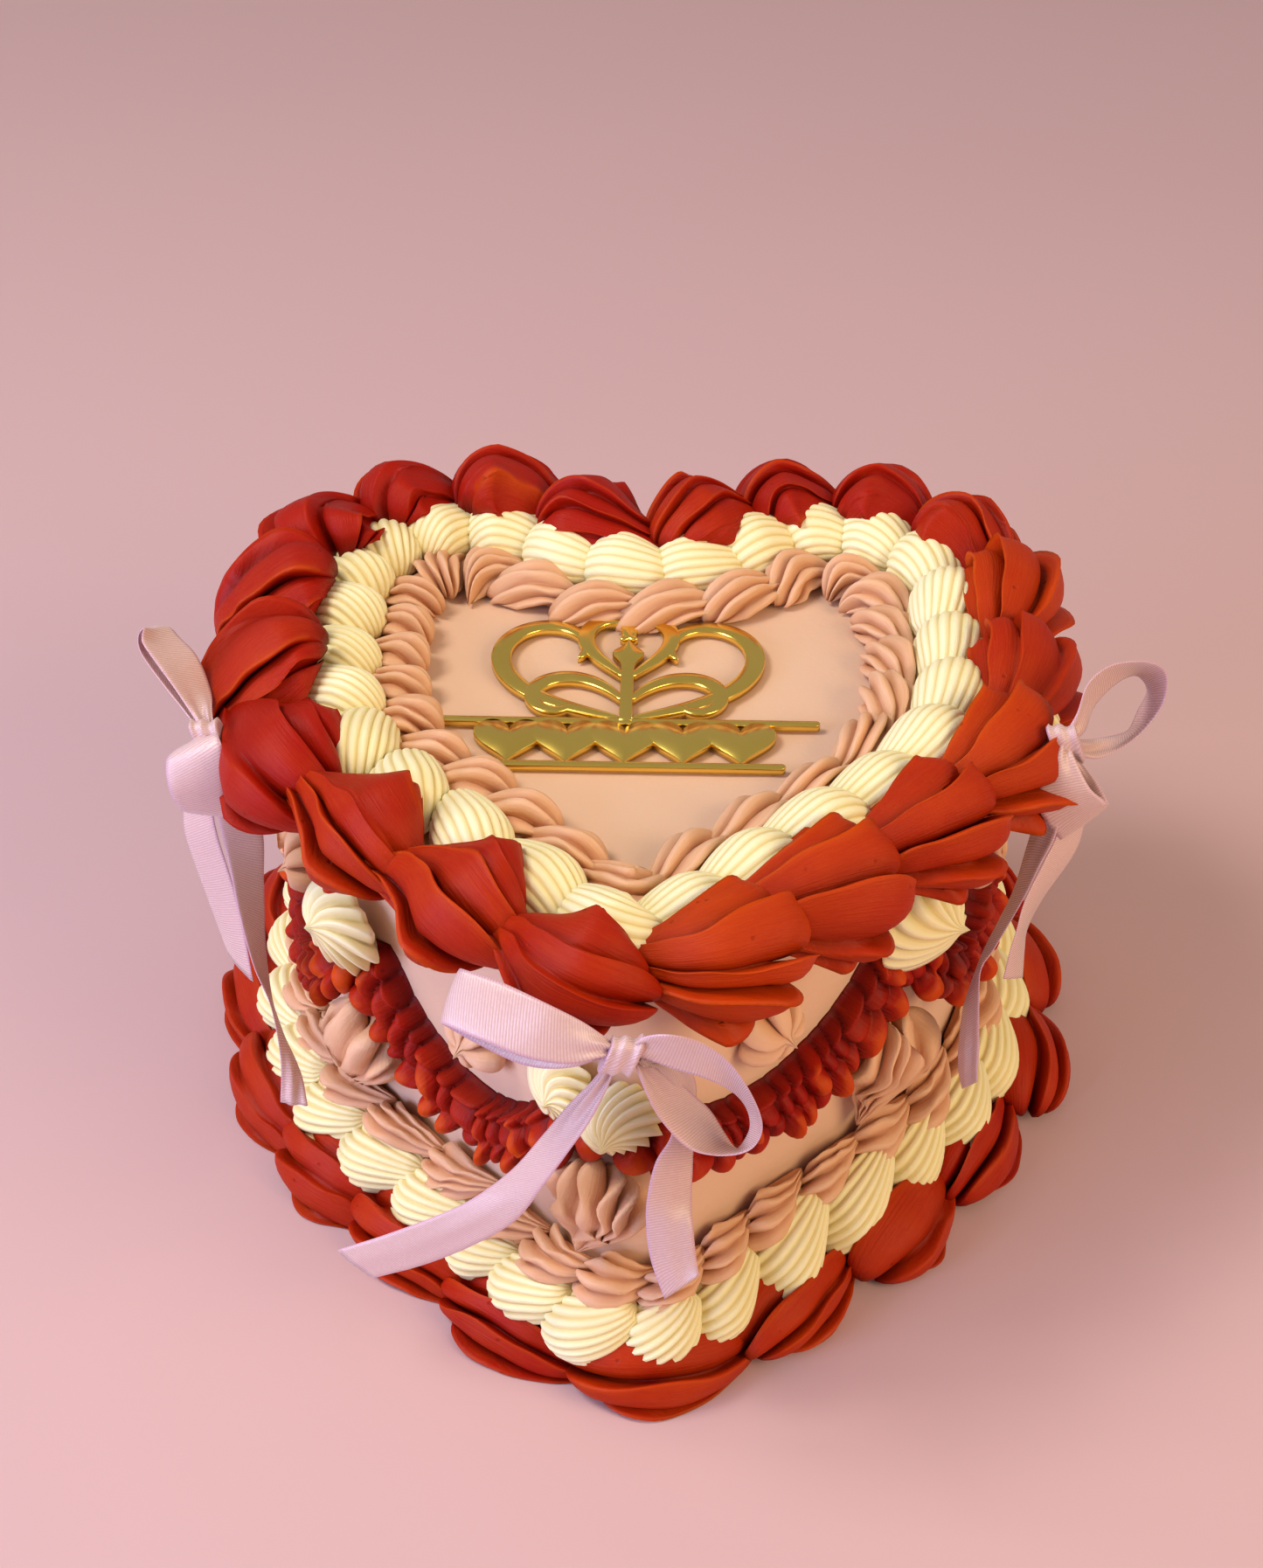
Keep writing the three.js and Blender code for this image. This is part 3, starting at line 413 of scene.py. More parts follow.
def shell_form(form, span, seed):
    """Shells in their own frame, in mm: along (towards the head), aside and lift, each (shell, step,
    column). From head to tail the section grows fast to a plump body and shrinks slowly to the tail, and it
    leans forward at the head so that the ridges run up from under it and over. Round the section the ridges
    lie on top and the underside is plain; at the head each ridge runs on to a round end of its own. A stub
    of 1 makes a short shell with a thick round end; a hook curls the head aside by that share of the width;
    round draws the sides of the head back by that share of the span; plain scales the depth of the valleys,
    and merge is the least share of its depth that a valley may have. Drawn values make the shells unlike
    each other. Also gives the UV map and two vertex values for the icing's colours: ridge, low in the
    valleys, on the plain underside, on shallow blades and at the very head, where the icing paints shade, and
    near 1 on the thin edges, where it paints a highlight; and a tint drawn per shell plus the row's painted
    light and shade."""
    form = {**SHELL, **form}
    vary = np.random.default_rng(seed).uniform(-1, 1, (10, len(span), 1, 1))
    share = (np.linspace(0, 1, form["steps"]) ** 1.25)[None, :, None]
    place, valley, lap, tip = form["columns"]
    half = np.radians(form["span"])
    blades = form["blades"]
    draw = np.random.default_rng(seed + 200).uniform(0, 1, (len(span), 1, blades + 2))
    draw = form["merge"] + (1.15 - form["merge"]) * draw if blades > 1 else np.ones_like(draw)
    counted = np.arange(len(place)) * blades / len(place)
    first = np.floor(counted).astype(int)
    deep = draw[..., first] + (draw[..., first + 1] - draw[..., first]) * (counted - first)
    plain = np.concatenate([np.clip(1 - deep, 0, 1), np.zeros((len(span), 1, UNDER))], -1)
    over = half * (2 * place - 1) + form["lap"] * lap * 2 * half * deep * form["plain"]
    below = np.linspace(half, 2 * np.pi - half, UNDER + 2)[1:-1]
    angle = np.concatenate([over, np.broadcast_to(below, (len(span), 1, UNDER))], -1)
    angle = angle + form["uneven"] * np.sin(2 * angle + 3 * vary[8]) * np.sin(angle / 2 + np.pi / 2)
    valley = np.concatenate([valley * deep, np.ones((len(span), 1, UNDER))], -1)
    tip = np.concatenate([tip * (1 - 0.75 * (2 * place - 1) ** 4), np.zeros(UNDER)])[None, None, :]
    wave = np.sin(share * 10 + angle * 2.7 + 6 * vary[6]) + 0.6 * np.sin(share * 23 + angle * 5 + 6 * vary[7])
    angle = angle + form["flutter"] * (1 - valley) * wave

    full, stub = form["full"], form["stub"]
    rising = np.sqrt(np.clip(1 - (1 - share / full) ** 2, 0, 1))
    tail = form["tail"] + 0.55 * stub
    falling = 1 - (1 - tail) * (np.clip(share - full, 0, 1) / (1 - full)) ** form["taper"]
    body = np.where(share < full, rising, falling) * (1 + 0.07 * vary[0])
    body = body * np.sqrt(1 - (1 - np.clip((1 - share) / (0.03 + 0.3 * stub), 0, 1)) ** 2)
    at_head = 1 + 0.3 * np.clip(1 - share / 0.35, 0, 1)
    depth = form["depth"] * at_head * (1 + 0.15 * vary[1]) * form["plain"]
    ripple = 1 + form["ripple"] * np.sin(angle * 2.3 + vary[2] * 5 + share * (5 + 3 * vary[3]))
    radial = body * (1 - depth * valley) * ripple
    turn = angle + form["twist"] * (share - 0.3) * (1 + 0.35 * vary[4])
    aside = form["width"] / 2 * radial * np.sin(turn)
    soft = np.where(np.cos(turn) < 0, 0.4 + 0.6 * np.clip(share / 0.4, 0, 1), 1)
    up = form["rise"] / 2 * radial * np.cos(turn) * soft
    lean = HEAD_LEAN * np.clip(1 - share / CURL_SHARE, 0, 1) ** 1.5
    lean = lean - TAIL_LEAN * np.clip(share - CURL_SHARE, 0, 1)
    aside = aside + form["bend"] * (1 + 0.4 * vary[5]) * np.clip(share - 0.35, 0, 1) ** 2 * span
    curl = (np.clip(CURL_SHARE - share, 0, 1) / CURL_SHARE) ** 2
    aside = aside + form["hook"] * (1 + 0.2 * vary[9]) * curl * form["width"]
    sink = form["settle"] * np.clip(1 - share / full, 0, 1) ** 2
    sink = sink + form["sink"] * np.clip(share - full, 0, 1) ** 1.3
    front = np.clip(1 - share / 0.5, 0, 1) * (share > 0)
    head = form["head"] + (form["scallop"] * (tip - 0.5) - form["round"] * np.sin(angle) ** 2) * front
    reach = 1 + form["head"] + form["tail_length"] * (1 - 0.85 * stub)
    along = span * (1 - 0.1 * stub) * ((0.5 + head) - reach * share) + up * np.sin(lean)
    lift = up * np.cos(lean) - form["rise"] * (sink - 0.03 * vary[7])
    uv = np.stack(np.broadcast_arrays(angle * form["width"] / 20, -share * span / 10 + vary[6] * 40), -1)
    # Painted shade and highlight: the ridge value is low in the valleys, on the plain underside, on shallow
    # blades and at the very head, where the icing paints shade, and near 1 on the thin edges, where it paints
    # a highlight.
    ridge = (1 - valley - 0.25 * plain) * np.clip(share / 0.1, 0.2, 1)
    shape = np.broadcast_shapes(along.shape, aside.shape, lift.shape)
    # The second value is a tint drawn per shell plus the row's painted light and shade, which paints chosen
    # shells lighter and more orange as if lit.
    values = {"ridge": ridge, "tone": vary[7] * 0.35 + 0.35 + form["painted_light_and_shade"]}
    values = {key: np.broadcast_to(value, shape).ravel() for key, value in values.items()}
    return (*(np.broadcast_to(item, shape) for item in (along, aside, lift)), uv.reshape(-1, 2), values)


def shell_faces(shape, heading):
    """Quads of a set of shells, (shell, step, column), turned over where the heading mirrors the frame."""
    count, rows, columns = shape
    faces = [grid_faces(rows, columns, i * rows * columns) for i in range(count)]
    return np.concatenate([part[:, ::int(way)] for part, way in zip(faces, np.broadcast_to(heading, count))])


def piped_row(row):
    """A row of shells: each form is turned by the row's yaw at its place, bent round the row's own track, and
    tilted about that track; what would go below the row's floor spreads thinly on it instead. A number of the
    row may be a table of distances and values, read off at each shell."""
    row = {**SHELL, **row}
    at, total = heart_track(row["offset"], row["squeeze"])
    bounds = shell_bounds(row["places"], row["pitch"], total)
    middle = ((bounds[:-1] + bounds[1:]) / 2)[:, None, None]
    span = np.diff(bounds)[:, None, None]
    heading = np.full(middle.shape, row["heading"])
    heading[row["turned"]] *= -1
    nearest = np.mod(middle + total / 2, total) - total / 2
    for key, item in row.items():
        if isinstance(item, dict):
            row[key] = np.interp(nearest, list(item), list(item.values()))
    yaw_vary = np.random.default_rng(row["seed"] + 50).uniform(-1, 1, middle.shape) * row["yaw_vary"]
    yaw = np.radians(row["yaw"] + yaw_vary)
    along, aside, lift, uv, values = shell_form(row, span, row["seed"])
    forward = along * np.cos(yaw) - aside * np.sin(yaw)
    across = along * np.sin(yaw) + aside * np.cos(yaw) + row["shift"]
    spot, outward = at(middle + heading * forward)
    tilt = np.radians(row["tilt"])
    points = spot + outward * (across * np.cos(tilt) + lift * np.sin(tilt))[..., None]
    above = row["height"] - across * np.sin(tilt) + lift * np.cos(tilt) - row["floor"]
    points[..., 2] = row["floor"] + (above + np.sqrt(above ** 2 + FLOOR_SOFTNESS)) / 2
    points = points.reshape(-1, 3)
    return points, faced_out(points, shell_faces(along.shape, heading.ravel())), uv, values


def put_row(name, row, paint, slot):
    """One row of shells as a piece, in place of the CAD node of its border."""
    points, faces, uv, values = piped_row(row)
    mesh_piece(f"{name}_shells", points, faces, paint, slot, f"{name}_border", uv, values)


def icing_paint(name, deep, body, edge, streak, pits):
    """Buttercream of three display colours: the deep one is painted shade in the valleys and on the plain
    underside, the body one is the icing's own colour, and the edge one is a painted highlight along the thin
    edges. It drifts a little from shell to shell, partly at random and partly as painted light, with fine
    streaks along the pull of the bag and a few air pits, which are painted darker as shade."""
    paint = Paint(name, Specular_IOR_Level=0.3, Subsurface_Weight=0.1, Subsurface_Scale=0.003)
    deep, body, edge = linear(*deep), linear(*body), linear(*edge)
    place = paint.place()
    ridge = paint.attribute("ridge")
    cloud = paint.noise(place, 60.0, 3.0)
    tone = paint.attribute("tone")
    streaks = paint.noise(paint.pattern_place((9.0, 1.1, 1.0)), 1.6, 4.0, 0.6)
    # Painted shade: where the ridge value is low, in the valleys and on the underside, the colour goes to the
    # deep one.
    colour = paint.blend((ridge * 1.5 - 0.08).clamp(), deep, body)
    # Painted highlight: where the ridge value is near 1, along the thin edges, the colour goes to the paler
    # edge one.
    colour = paint.blend(((ridge - 0.82) * 4.0).clamp() * 0.8, colour, edge)
    # The drift towards the edge colour is partly the icing's own cloud, streaks and drawn tint, and partly
    # painted light: the painted light of each shell's place and a lighter share on the ridges.
    drift = cloud * 0.6 + tone * 0.4 + streaks * 0.35 + ridge * 0.3 - 0.72
    colour = paint.blend(drift.clamp() * 0.8, colour, edge)
    holes = paint.node("ShaderNodeTexVoronoi", {}, {"Vector": place, "Scale": 130.0})
    pit = ((0.09 - holes) * 16.0).clamp() * pits
    # Painted shade in the air pits: they also darken towards the deep colour.
    colour = paint.blend(pit * 0.5, colour, deep)
    paint.set(Base_Color=colour, Roughness=0.42 + 0.16 * streaks)
    grain = paint.noise(place, 900.0)
    paint.relief(streaks * streak + grain * 0.16 + cloud * 0.2 - pit * 0.6, 0.0011, 0.55)
    return paint


# Each icing's first colour is painted shade for its valleys, the second is its own colour and the third is a
# painted highlight for its thin edges.
red_paint = icing_paint("deep_red_icing", (82, 2, 0), (158, 19, 0), (207, 80, 2), 0.6, 0.8)
red_paint.set(Specular_IOR_Level=0.16)

TOP_RED = {
    "offset": 8, "squeeze": 0.955, "height": CAKE_HEIGHT + 7, "tilt": 38, "pitch": 31,
    "places": [-301, -273, -245, -219, -187, -151, -111, -73, -40, -6, 22, 56, 92, 123, 156, 191, 223, 249,
               276, 303],
    "heading": 1, "turned": [4, 5], "seed": 1, "steps": 40,
    "columns": blade_columns(8, 0.27, 0.6, 1.3), "blades": 8, "span": 160, "lap": 0.5, "rise": 33,
    "tail": 0.08, "ripple": 0.04, "head": -0.28, "tail_length": 0.46, "taper": 0.95, "uneven": 0.18,
    "flutter": 0.05, "yaw_vary": 6, "floor": -100,
    "width": {-214: 38, -190: 43, -146: 43, -126: 40, -105: 37, 316: 38},
    # Painted light and shade by place round the row: the shells on the right side are painted lighter and
    # more orange as if lit from the right, and those at the back and on the left darker.
    "painted_light_and_shade": {-316: -0.2, -120: -0.1, -20: 0.2, 20: 0.6, 200: 0.6, 240: -0.2},
    "merge": {-316: -0.25, -214: -0.2, -196: 0.2, -130: 0.15, -111: 0.0, -10: 0.0, 10: 0.35,
              200: 0.35, 230: -0.2, 316: -0.25},
    "depth": {-316: 0.44, -200: 0.52, -130: 0.52, -111: 0.48, -10: 0.46, 10: 0.56, 200: 0.56, 316: 0.44},
    "scallop": {-316: 0.15, -200: 0.5, -130: 0.5, -105: 0.2, -10: 0.2, 10: 0.3, 180: 0.34, 230: 0.15},
    "full": {-316: 0.32, -200: 0.2, -130: 0.2, -105: 0.34, -10: 0.34, 10: 0.2, 180: 0.2, 230: 0.32},
    "twist": {-316: 0.8, -200: 0.5, -130: 0.3, -105: -1.1, -10: -0.9, 10: 0.3, 180: 0.5, 316: 0.8},
    "bend": {-130: 0.12, -105: 0.45, -10: 0.45, 10: 0.12},
    "sink": {-219: 0.35, -190: 0.05, -146: 0.05, -126: 0.2, -105: -0.3, -10: -0.3, 10: 0.35},
    "yaw": {-316: 6, -219: 8, -190: -68, -151: -68, -126: -30, -100: 6, -6: 8, 22: 16,
            120: 16, 180: 10, 316: 6},
    "hook": {-219: -0.2, -187: 0, 180: 0, 223: -0.1, 316: -0.2},
    "round": {-126: 0, -105: 0.2, -6: 0.2, 22: 0.04, 180: 0},
    "stub": {-214: 0, -190: 0.9, -146: 0.9, -126: 0.3, -105: 0},
    "shift": {-214: 0, -190: 0.5, -146: 0.3, -105: 3, 130: 3, 180: 0},
    "plain": {-219: 0.9, -187: 1, 180: 1, 316: 0.9},
}
put_row("top_red", TOP_RED, red_paint, "red_icing")

# Top cream border: pale cream shells from a fine star tip with narrow ridges, plump and close together.
# The cream's colours: painted shade, its own colour, then a painted highlight.
cream_paint = icing_paint("pale_cream_icing", (222, 200, 132), (240, 228, 176), (250, 243, 208), 0.3, 0.2)
TOP_CREAM = {
    "offset": -10, "height": CAKE_HEIGHT + 5.5, "pitch": 20,
    "places": [-262, -245, -226, -207, -189, -174, -158, -138, -119, -99, -77, -53, -30, -7, 14, 35, 57, 78,
               101, 122, 143, 163, 181, 199, 216, 233, 252],
    "heading": 1, "seed": 2, "steps": 20, "columns": ridge_columns(15, 2.0), "span": 124, "width": 21,
    "rise": 20, "tail": 0.3, "depth": 0.07, "ripple": 0.02, "twist": 0.5, "head": 0.1, "tail_length": 0.3,
    "bend": 0.05, "sink": 0.25, "yaw_vary": 6, "floor": CAKE_HEIGHT + 0.3,
    "yaw": {-267: 15, -215: -10, -190: -45, -120: -40, -105: 35, -60: 35, -30: 15},
    "stub": {-267: 0.6, -200: 0.8, -110: 0.8, -60: 0.4, 0: 0.2, 150: 0.2, 180: 0.6},
    "hook": {-267: -0.15, -200: 0, 150: 0, 267: -0.15},
    "plain": {-267: 0.5, -210: 0.6, -190: 1.2, -60: 1.1, 0: 0.6, 130: 0.6, 160: 1.1, 190: 0.7, 267: 0.5},
}
put_row("top_cream", TOP_CREAM, cream_paint, "cream_icing")

# Top peach border: smaller shells of the coat's own icing with six round ridges, curled at the back.
# The peach's colours: painted shade, its own colour, then a painted highlight.
peach_paint = icing_paint("pale_peach_icing", (190, 128, 88), (215, 164, 124), (232, 190, 156), 0.3, 0.2)
TOP_PEACH = {
    "offset": -23.8, "height": CAKE_HEIGHT + 3, "pitch": 17,
    "places": [-213, -196, -178, -163, -147, -132, -120, -106, -92, -76, -60, -43, -26, -7, 14, 34, 56, 77,
               97, 114, 131, 146, 160, 175, 192, 211],
    "heading": 1, "seed": 3, "steps": 22, "columns": ridge_columns(6, 1.5), "span": 124, "width": 17,
    "rise": 16, "tail": 0.08, "depth": 0.4, "ripple": 0.06, "head": 0.1, "tail_length": 0.3, "bend": 0.15,
    "sink": 0.3, "scallop": 0.25, "full": 0.3, "taper": 1.15, "flutter": 0.08, "uneven": 0.12,
    "yaw_vary": 8, "floor": CAKE_HEIGHT + 0.3,
    "yaw": {-222: 10, -185: 0, -170: -55, -100: -50, -80: -25, -40: -15, 0: 8, 25: 3,
            90: 0, 125: -14, 150: -14, 175: 5, 222: 10},
    "stub": {-222: 0, -175: 0.5, -90: 0.5, -60: 0},
    "twist": {-222: 2.1, -176: 2.0, -160: 1.2, 160: 1.2, 176: 2.0, 222: 2.1},
    "hook": {-222: -0.6, -180: -0.45, -160: 0, 20: 0, 90: -0.1, 120: -0.3, 170: -0.45, 222: -0.6},
}
put_row("top_peach", TOP_PEACH, peach_paint, "peach_icing")

# Foot borders: big red shells spread on the board, heads clockwise, then cream and peach rows up the wall.
BASE_RED = {
    "offset": 13.5, "squeeze": 0.965, "height": 3.5, "tilt": 12, "pitch": 38,
    "places": [-126, -94, -62, -25, 15, 55, 92, 128],
    "heading": -1, "seed": 4, "steps": 34, "columns": blade_columns(6, 0.28, 0.5), "blades": 6,
    "merge": 0.3, "span": 140, "lap": 0.4, "uneven": 0.2, "width": 31, "rise": 31, "tail": 0.16,
    "depth": 0.46, "scallop": 0.3, "ripple": 0.04, "full": 0.26, "flutter": 0.06, "twist": 0.35,
    "head": 0.06, "tail_length": 0.16, "bend": 0.08, "sink": 0.3, "settle": 0.02, "taper": 1.5,
    "yaw": {-400: 12, -30: 10, 10: 4, 60: 16}, "yaw_vary": 6, "floor": 0.3,
}
put_row("base_red", BASE_RED, red_paint, "red_icing")

BASE_CREAM = {
    "offset": 9, "height": 17, "tilt": 90, "pitch": 24,
    "places": [-131, -108, -86, -64, -46, -27, -7, 9, 26, 49, 75, 98, 119],
    "heading": -1, "seed": 5, "steps": 20, "columns": ridge_columns(13, 1.3), "span": 118, "width": 20,
    "rise": 21, "tail": 0.4, "depth": 0.12, "ripple": 0.03, "twist": 0.5, "head": 0.12,
    "tail_length": 0.12, "bend": 0.1, "sink": 0.3, "scallop": 0.05,
    "yaw": {-400: 28, -20: 25, 5: 40, 400: 30}, "yaw_vary": 9, "floor": 0.5,
}
put_row("base_cream", BASE_CREAM, cream_paint, "cream_icing")

BASE_PEACH = {
    "offset": 4.5, "height": 28, "tilt": 90, "pitch": 20,
    "places": [-99, -77, -56, -36, -18, -1, 13, 28, 46, 66, 87],
    "heading": -1, "seed": 6, "steps": 21, "columns": ridge_columns(7, 1.3), "span": 122, "width": 18,
    "rise": 16, "tail": 0.1, "depth": 0.34, "ripple": 0.08, "twist": 1.1, "head": 0.1,
    "tail_length": 0.12, "bend": 0.1, "sink": 0.3, "scallop": 0.22, "full": 0.3, "flutter": 0.13,
    "taper": 1.15, "uneven": 0.15, "hook": 0.2,
    "yaw": {-400: 22, -20: 14, 20: 14, 400: 24}, "yaw_vary": 9, "floor": 0.5,
}
put_row("base_peach", BASE_PEACH, peach_paint, "peach_icing")

# Ruffled swags: bands of the red icing pressed through a ruffle tip, hung between the cream stars. Each has a
# row of round lobes below, lapped like tiles, a thin wavy lip along its middle and a low smooth upper side.
JOINTS = [(-91, 90), (-6, 92), (86, 96), (178, 92), (265, 92), (332, 92), (419, 92)]
LOW_POINTS = [56, 66, 60, 62, 78, 62, 52]
RUFFLE_PITCH = 6.3
WAVE_ROWS = 10
BAND_COLUMNS = 52
BAND_INSET = 5
BAND_DROP = 6
BAND_BED = 0.4
CREST = [(-6.5, 0), (-8.6, 2.5), (-10.4, 5.5), (-10.9, 8.0), (-9.8, 10.0), (-7.6, 10.8), (-6.0, 10.2),
         (-4.9, 9.0), (-4.0, 8.8), (-2.6, 9.6), (-0.9, 9.6), (0.5, 8.4), (1.4, 7.2), (2.2, 7.2), (3.3, 8.0),
         (4.1, 7.7), (4.5, 6.0), (4.5, 3.6), (4.8, 1.4), (5.8, 0)]
CREASE = [(-5.3, 0), (-5.8, 0.7), (-6.2, 1.6), (-6.2, 2.6), (-5.8, 3.4), (-5.0, 3.8), (-4.2, 3.8),
          (-3.5, 3.6), (-2.8, 3.4), (-1.9, 3.4), (-0.9, 3.2), (0.1, 3.0), (1.0, 2.9), (1.5, 3.1), (1.9, 3.5),
          (2.2, 3.5), (2.5, 3.0), (3.0, 1.8), (3.8, 0.8), (5.2, 0)]


def smooth_through(points, count):
    """A smooth curve through points of any dimension, evenly spread over their numbers: cubic pieces whose
    slope at each point is half the step between its neighbours."""
    points = np.array(points, float)
    slope = np.gradient(points, axis=0)
    wanted = np.linspace(0, len(points) - 1, count)
    first = np.minimum(wanted.astype(int), len(points) - 2)
    t = (wanted - first)[:, None]
    one, two, rise_one, rise_two = points[first], points[first + 1], slope[first], slope[first + 1]
    bend = (2 * t ** 3 - 3 * t ** 2)
    return one * (1 + bend) - two * bend + rise_one * (t ** 3 - 2 * t ** 2 + t) + rise_two * (t ** 3 - t ** 2)


def capped_faces(rows, columns, both=True):
    """Quads of a closed section swept along rows, with a cap of quads across its last row and, where both is
    set, across its first row too."""
    half = np.arange(columns // 2 - 1)
    cap = np.stack([half, columns - 1 - half, columns - 2 - half, half + 1], 1)
    far_cap = cap[:, ::-1] + (rows - 1) * columns
    return np.concatenate([grid_faces(rows, columns), far_cap] + [cap] * both)


def span_between(index):
    """Where a swag starts and ends, each as (distance, height): at a joint and at the next one round."""
    start, (end, end_z) = JOINTS[index], JOINTS[(index + 1) % len(JOINTS)]
    return start, (end + (heart_total if index == len(JOINTS) - 1 else 0), end_z)


def swag_band(index):
    """One band: the section is mixed from its crease to its crest by the lobe wave, which climbs fast and
    falls slowly. The lobes of the lip and of the upper side run a share of a wave behind the lowest row, no
    two lobes have one size, and the folds slant to both ends. The band hangs in a bow and thins at its ends.
    Gives its points, UV map and ridge value."""
    (start, start_z), (end, end_z) = span_between(index)
    waves = max(8, round((end - start) * 1.12 / RUFFLE_PITCH))
    t = np.linspace(0, 1, waves * WAVE_ROWS + 1)[:, None]
    crest, crease = smooth_through(CREST, BAND_COLUMNS), smooth_through(CREASE, BAND_COLUMNS)
    aside = np.linspace(-1, 1, BAND_COLUMNS)[None, :]
    second = np.clip((aside + 0.28) / 0.1, 0, 1)
    lean = 0.5 * (aside + 0.65) * np.tanh((0.5 - t) * 12)
    drift = 0.3 * np.sin(t * 9 + index) + 0.16 * np.sin(t * 31 + 2 * index)
    upper = np.clip((aside - 0.26) / 0.12, 0, 1)
    wave = 0.16 * np.sin(5.5 * aside + 0.5 * np.sin(waves * t))
    count = waves * t + 0.22 * second + 0.15 * upper + lean + drift + wave + 2
    size = np.random.default_rng(80 + index).uniform(0.62, 1.2, 2 * waves + 40)
    phase = np.mod(count, 1) ** 0.75
    lobe = np.sqrt(np.clip(1 - (2 * phase - 1) ** 2, 0, 1))
    lobe = (lobe * size[(np.floor(count) + second.round() * (waves + 8)).astype(int)])[..., None]
    section = crease + (crest - crease) * lobe
    ends = np.clip(np.minimum(t, 1 - t) / 0.035, 0.02, 1) ** 0.5
    wide, out = section[..., 0] * (0.55 + 0.45 * ends), section[..., 1] * ends
    track = start + BAND_INSET + (end - start - 2 * BAND_INSET) * t
    line = start_z + (end_z - start_z) * t - BAND_DROP
    bow = (line - LOW_POINTS[index]) * (4 * t * (1 - t)) ** 0.8
    height = line - bow
    slope = np.arctan(np.gradient(height[:, 0], track[:, 0]))[:, None]
    spot, outward = heart_at(track - wide * np.sin(slope))
    points = spot + outward * (out - BAND_BED)[..., None]
    points[..., 2] = height + wide * np.cos(slope)
    uv = np.stack(np.broadcast_arrays(track / 10, aside * 0.8), -1).reshape(-1, 2)
    # Painted light and shade: the ridge value is high on the lobes, the more so the further they stand out,
    # and low in the creases, so the icing paints the creases with shade and the lobes lighter.
    ridge = np.clip(lobe[..., 0] * (0.2 + 0.75 * section[..., 1] / 10), 0, 1)
    return points, uv, ridge.ravel()


for index in range(len(JOINTS)):
    points, uv, ridge = swag_band(index)
    points, faces = points.reshape(-1, 3), capped_faces(*points.shape[:2])
    values = {"ridge": ridge, "tone": np.full(len(ridge), 0.3)}
    mesh_piece(f"ruffle_band_{index + 1}", points, faced_out(points, faces), red_paint, "red_icing",
               f"swag_{index + 1}", uv, values)

# Stars on the wall: cream stars from the fine tip cover the swags' joints, small peach ones with six round
# petals sit inside the bows of the swags, and cream dabs fill three gaps under the top border. The tip is
# pressed, then pulled away, so each ends in a bent point.


def star_surface(star, reach, swirl, seed):
    """A pressed star in its own frame: rings from the pulled point out over a dome and in to the wall. Ridges
    are round with sharp valleys and swirl by an angle that grows with the distance from the wall; the point
    is drawn aside by the reach (two shares of the radius). Gives x, y, lift, UV map and ridge value."""
    draw = np.random.default_rng(seed)
    ridges, per = star["ridges"], star["per"]
    profile = smooth_through(star["profile"], star["rings"])
    radius, height = profile[:, :1] * star["radius"], profile[:, 1:] * star["rise"]
    around = np.linspace(0, 2 * np.pi, ridges * per, endpoint=False)[None, :]
    part = np.mod(around * ridges / (2 * np.pi), 1)
    valley = np.abs(2 * part - 1) ** star["sharp"]
    uneven = 1 + 0.05 * np.sin(around + draw.uniform(0, 6)) + 0.035 * np.sin(3 * around + draw.uniform(0, 6))
    each = 1 + 0.06 * np.repeat(draw.uniform(-1, 1, ridges), per)[None, :] * np.sin(np.pi * part)
    share = height / star["rise"]
    angle = around + swirl * share ** 1.2 + 0.12 * np.sin(around * 2 + seed)
    low = np.clip(share / 0.25, 0, 1)
    radial = radius * (1 - star["depth"] * valley * (0.6 + 0.4 * low)) * uneven * each
    pull = np.clip(share - 0.15, 0, 2) ** 1.5
    x = radial * np.cos(angle) + reach[0] * star["radius"] * pull
    y = radial * np.sin(angle) + reach[1] * star["radius"] * pull
    lift = np.broadcast_to(height, angle.shape)
    uv = np.stack(np.broadcast_arrays(around * star["radius"] / 10, share), -1).reshape(-1, 2)
    # The returned ridge value is low in the valleys, where the icing paints shade, and high on the ridge
    # tops, where it paints a highlight.
    return x, y, lift, uv, np.broadcast_to(1 - valley, x.shape).ravel()


def on_wall(x, y, lift, s, z, stand):
    """Puts a form on the wall at distance s and height z: x round it, y up and lift straight out of it."""
    spot, outward = heart_at(np.array(float(s)))
    ahead = np.array([-outward[1], outward[0], 0])
    points = spot + ahead * x[..., None] + outward * (lift + stand)[..., None]
    points[..., 2] = z + y
    return points


CREAM_STAR = {
    "radius": 11.5, "rise": 9, "ridges": 13, "per": 8, "rings": 36, "sharp": 1.1, "depth": 0.27,
    "profile": [(0.0, 1.18), (0.05, 1.12), (0.13, 1.03), (0.28, 0.95), (0.52, 0.84), (0.78, 0.64),
                (0.96, 0.4), (1.03, 0.16), (0.9, 0.0)],
}
PEACH_STAR = {
    "radius": 10, "rise": 8, "ridges": 6, "per": 16, "rings": 32, "sharp": 3.4, "depth": 0.62,
    "profile": [(0.0, 1.2), (0.04, 1.12), (0.1, 0.98), (0.22, 0.9), (0.42, 0.88), (0.68, 0.8), (0.93, 0.54),
                (1.02, 0.3), (0.98, 0.12), (0.85, 0.0)],
}
CREAM_DAB = dict(CREAM_STAR, radius=9, rise=11, ridges=12, per=10, depth=0.1)
DAB_PLACES = [(-128, 119, 7), (138, 120, 8), (-197, 124, 8)]
FRONT_PAIR = [(-15, 87), (-1, 86)]
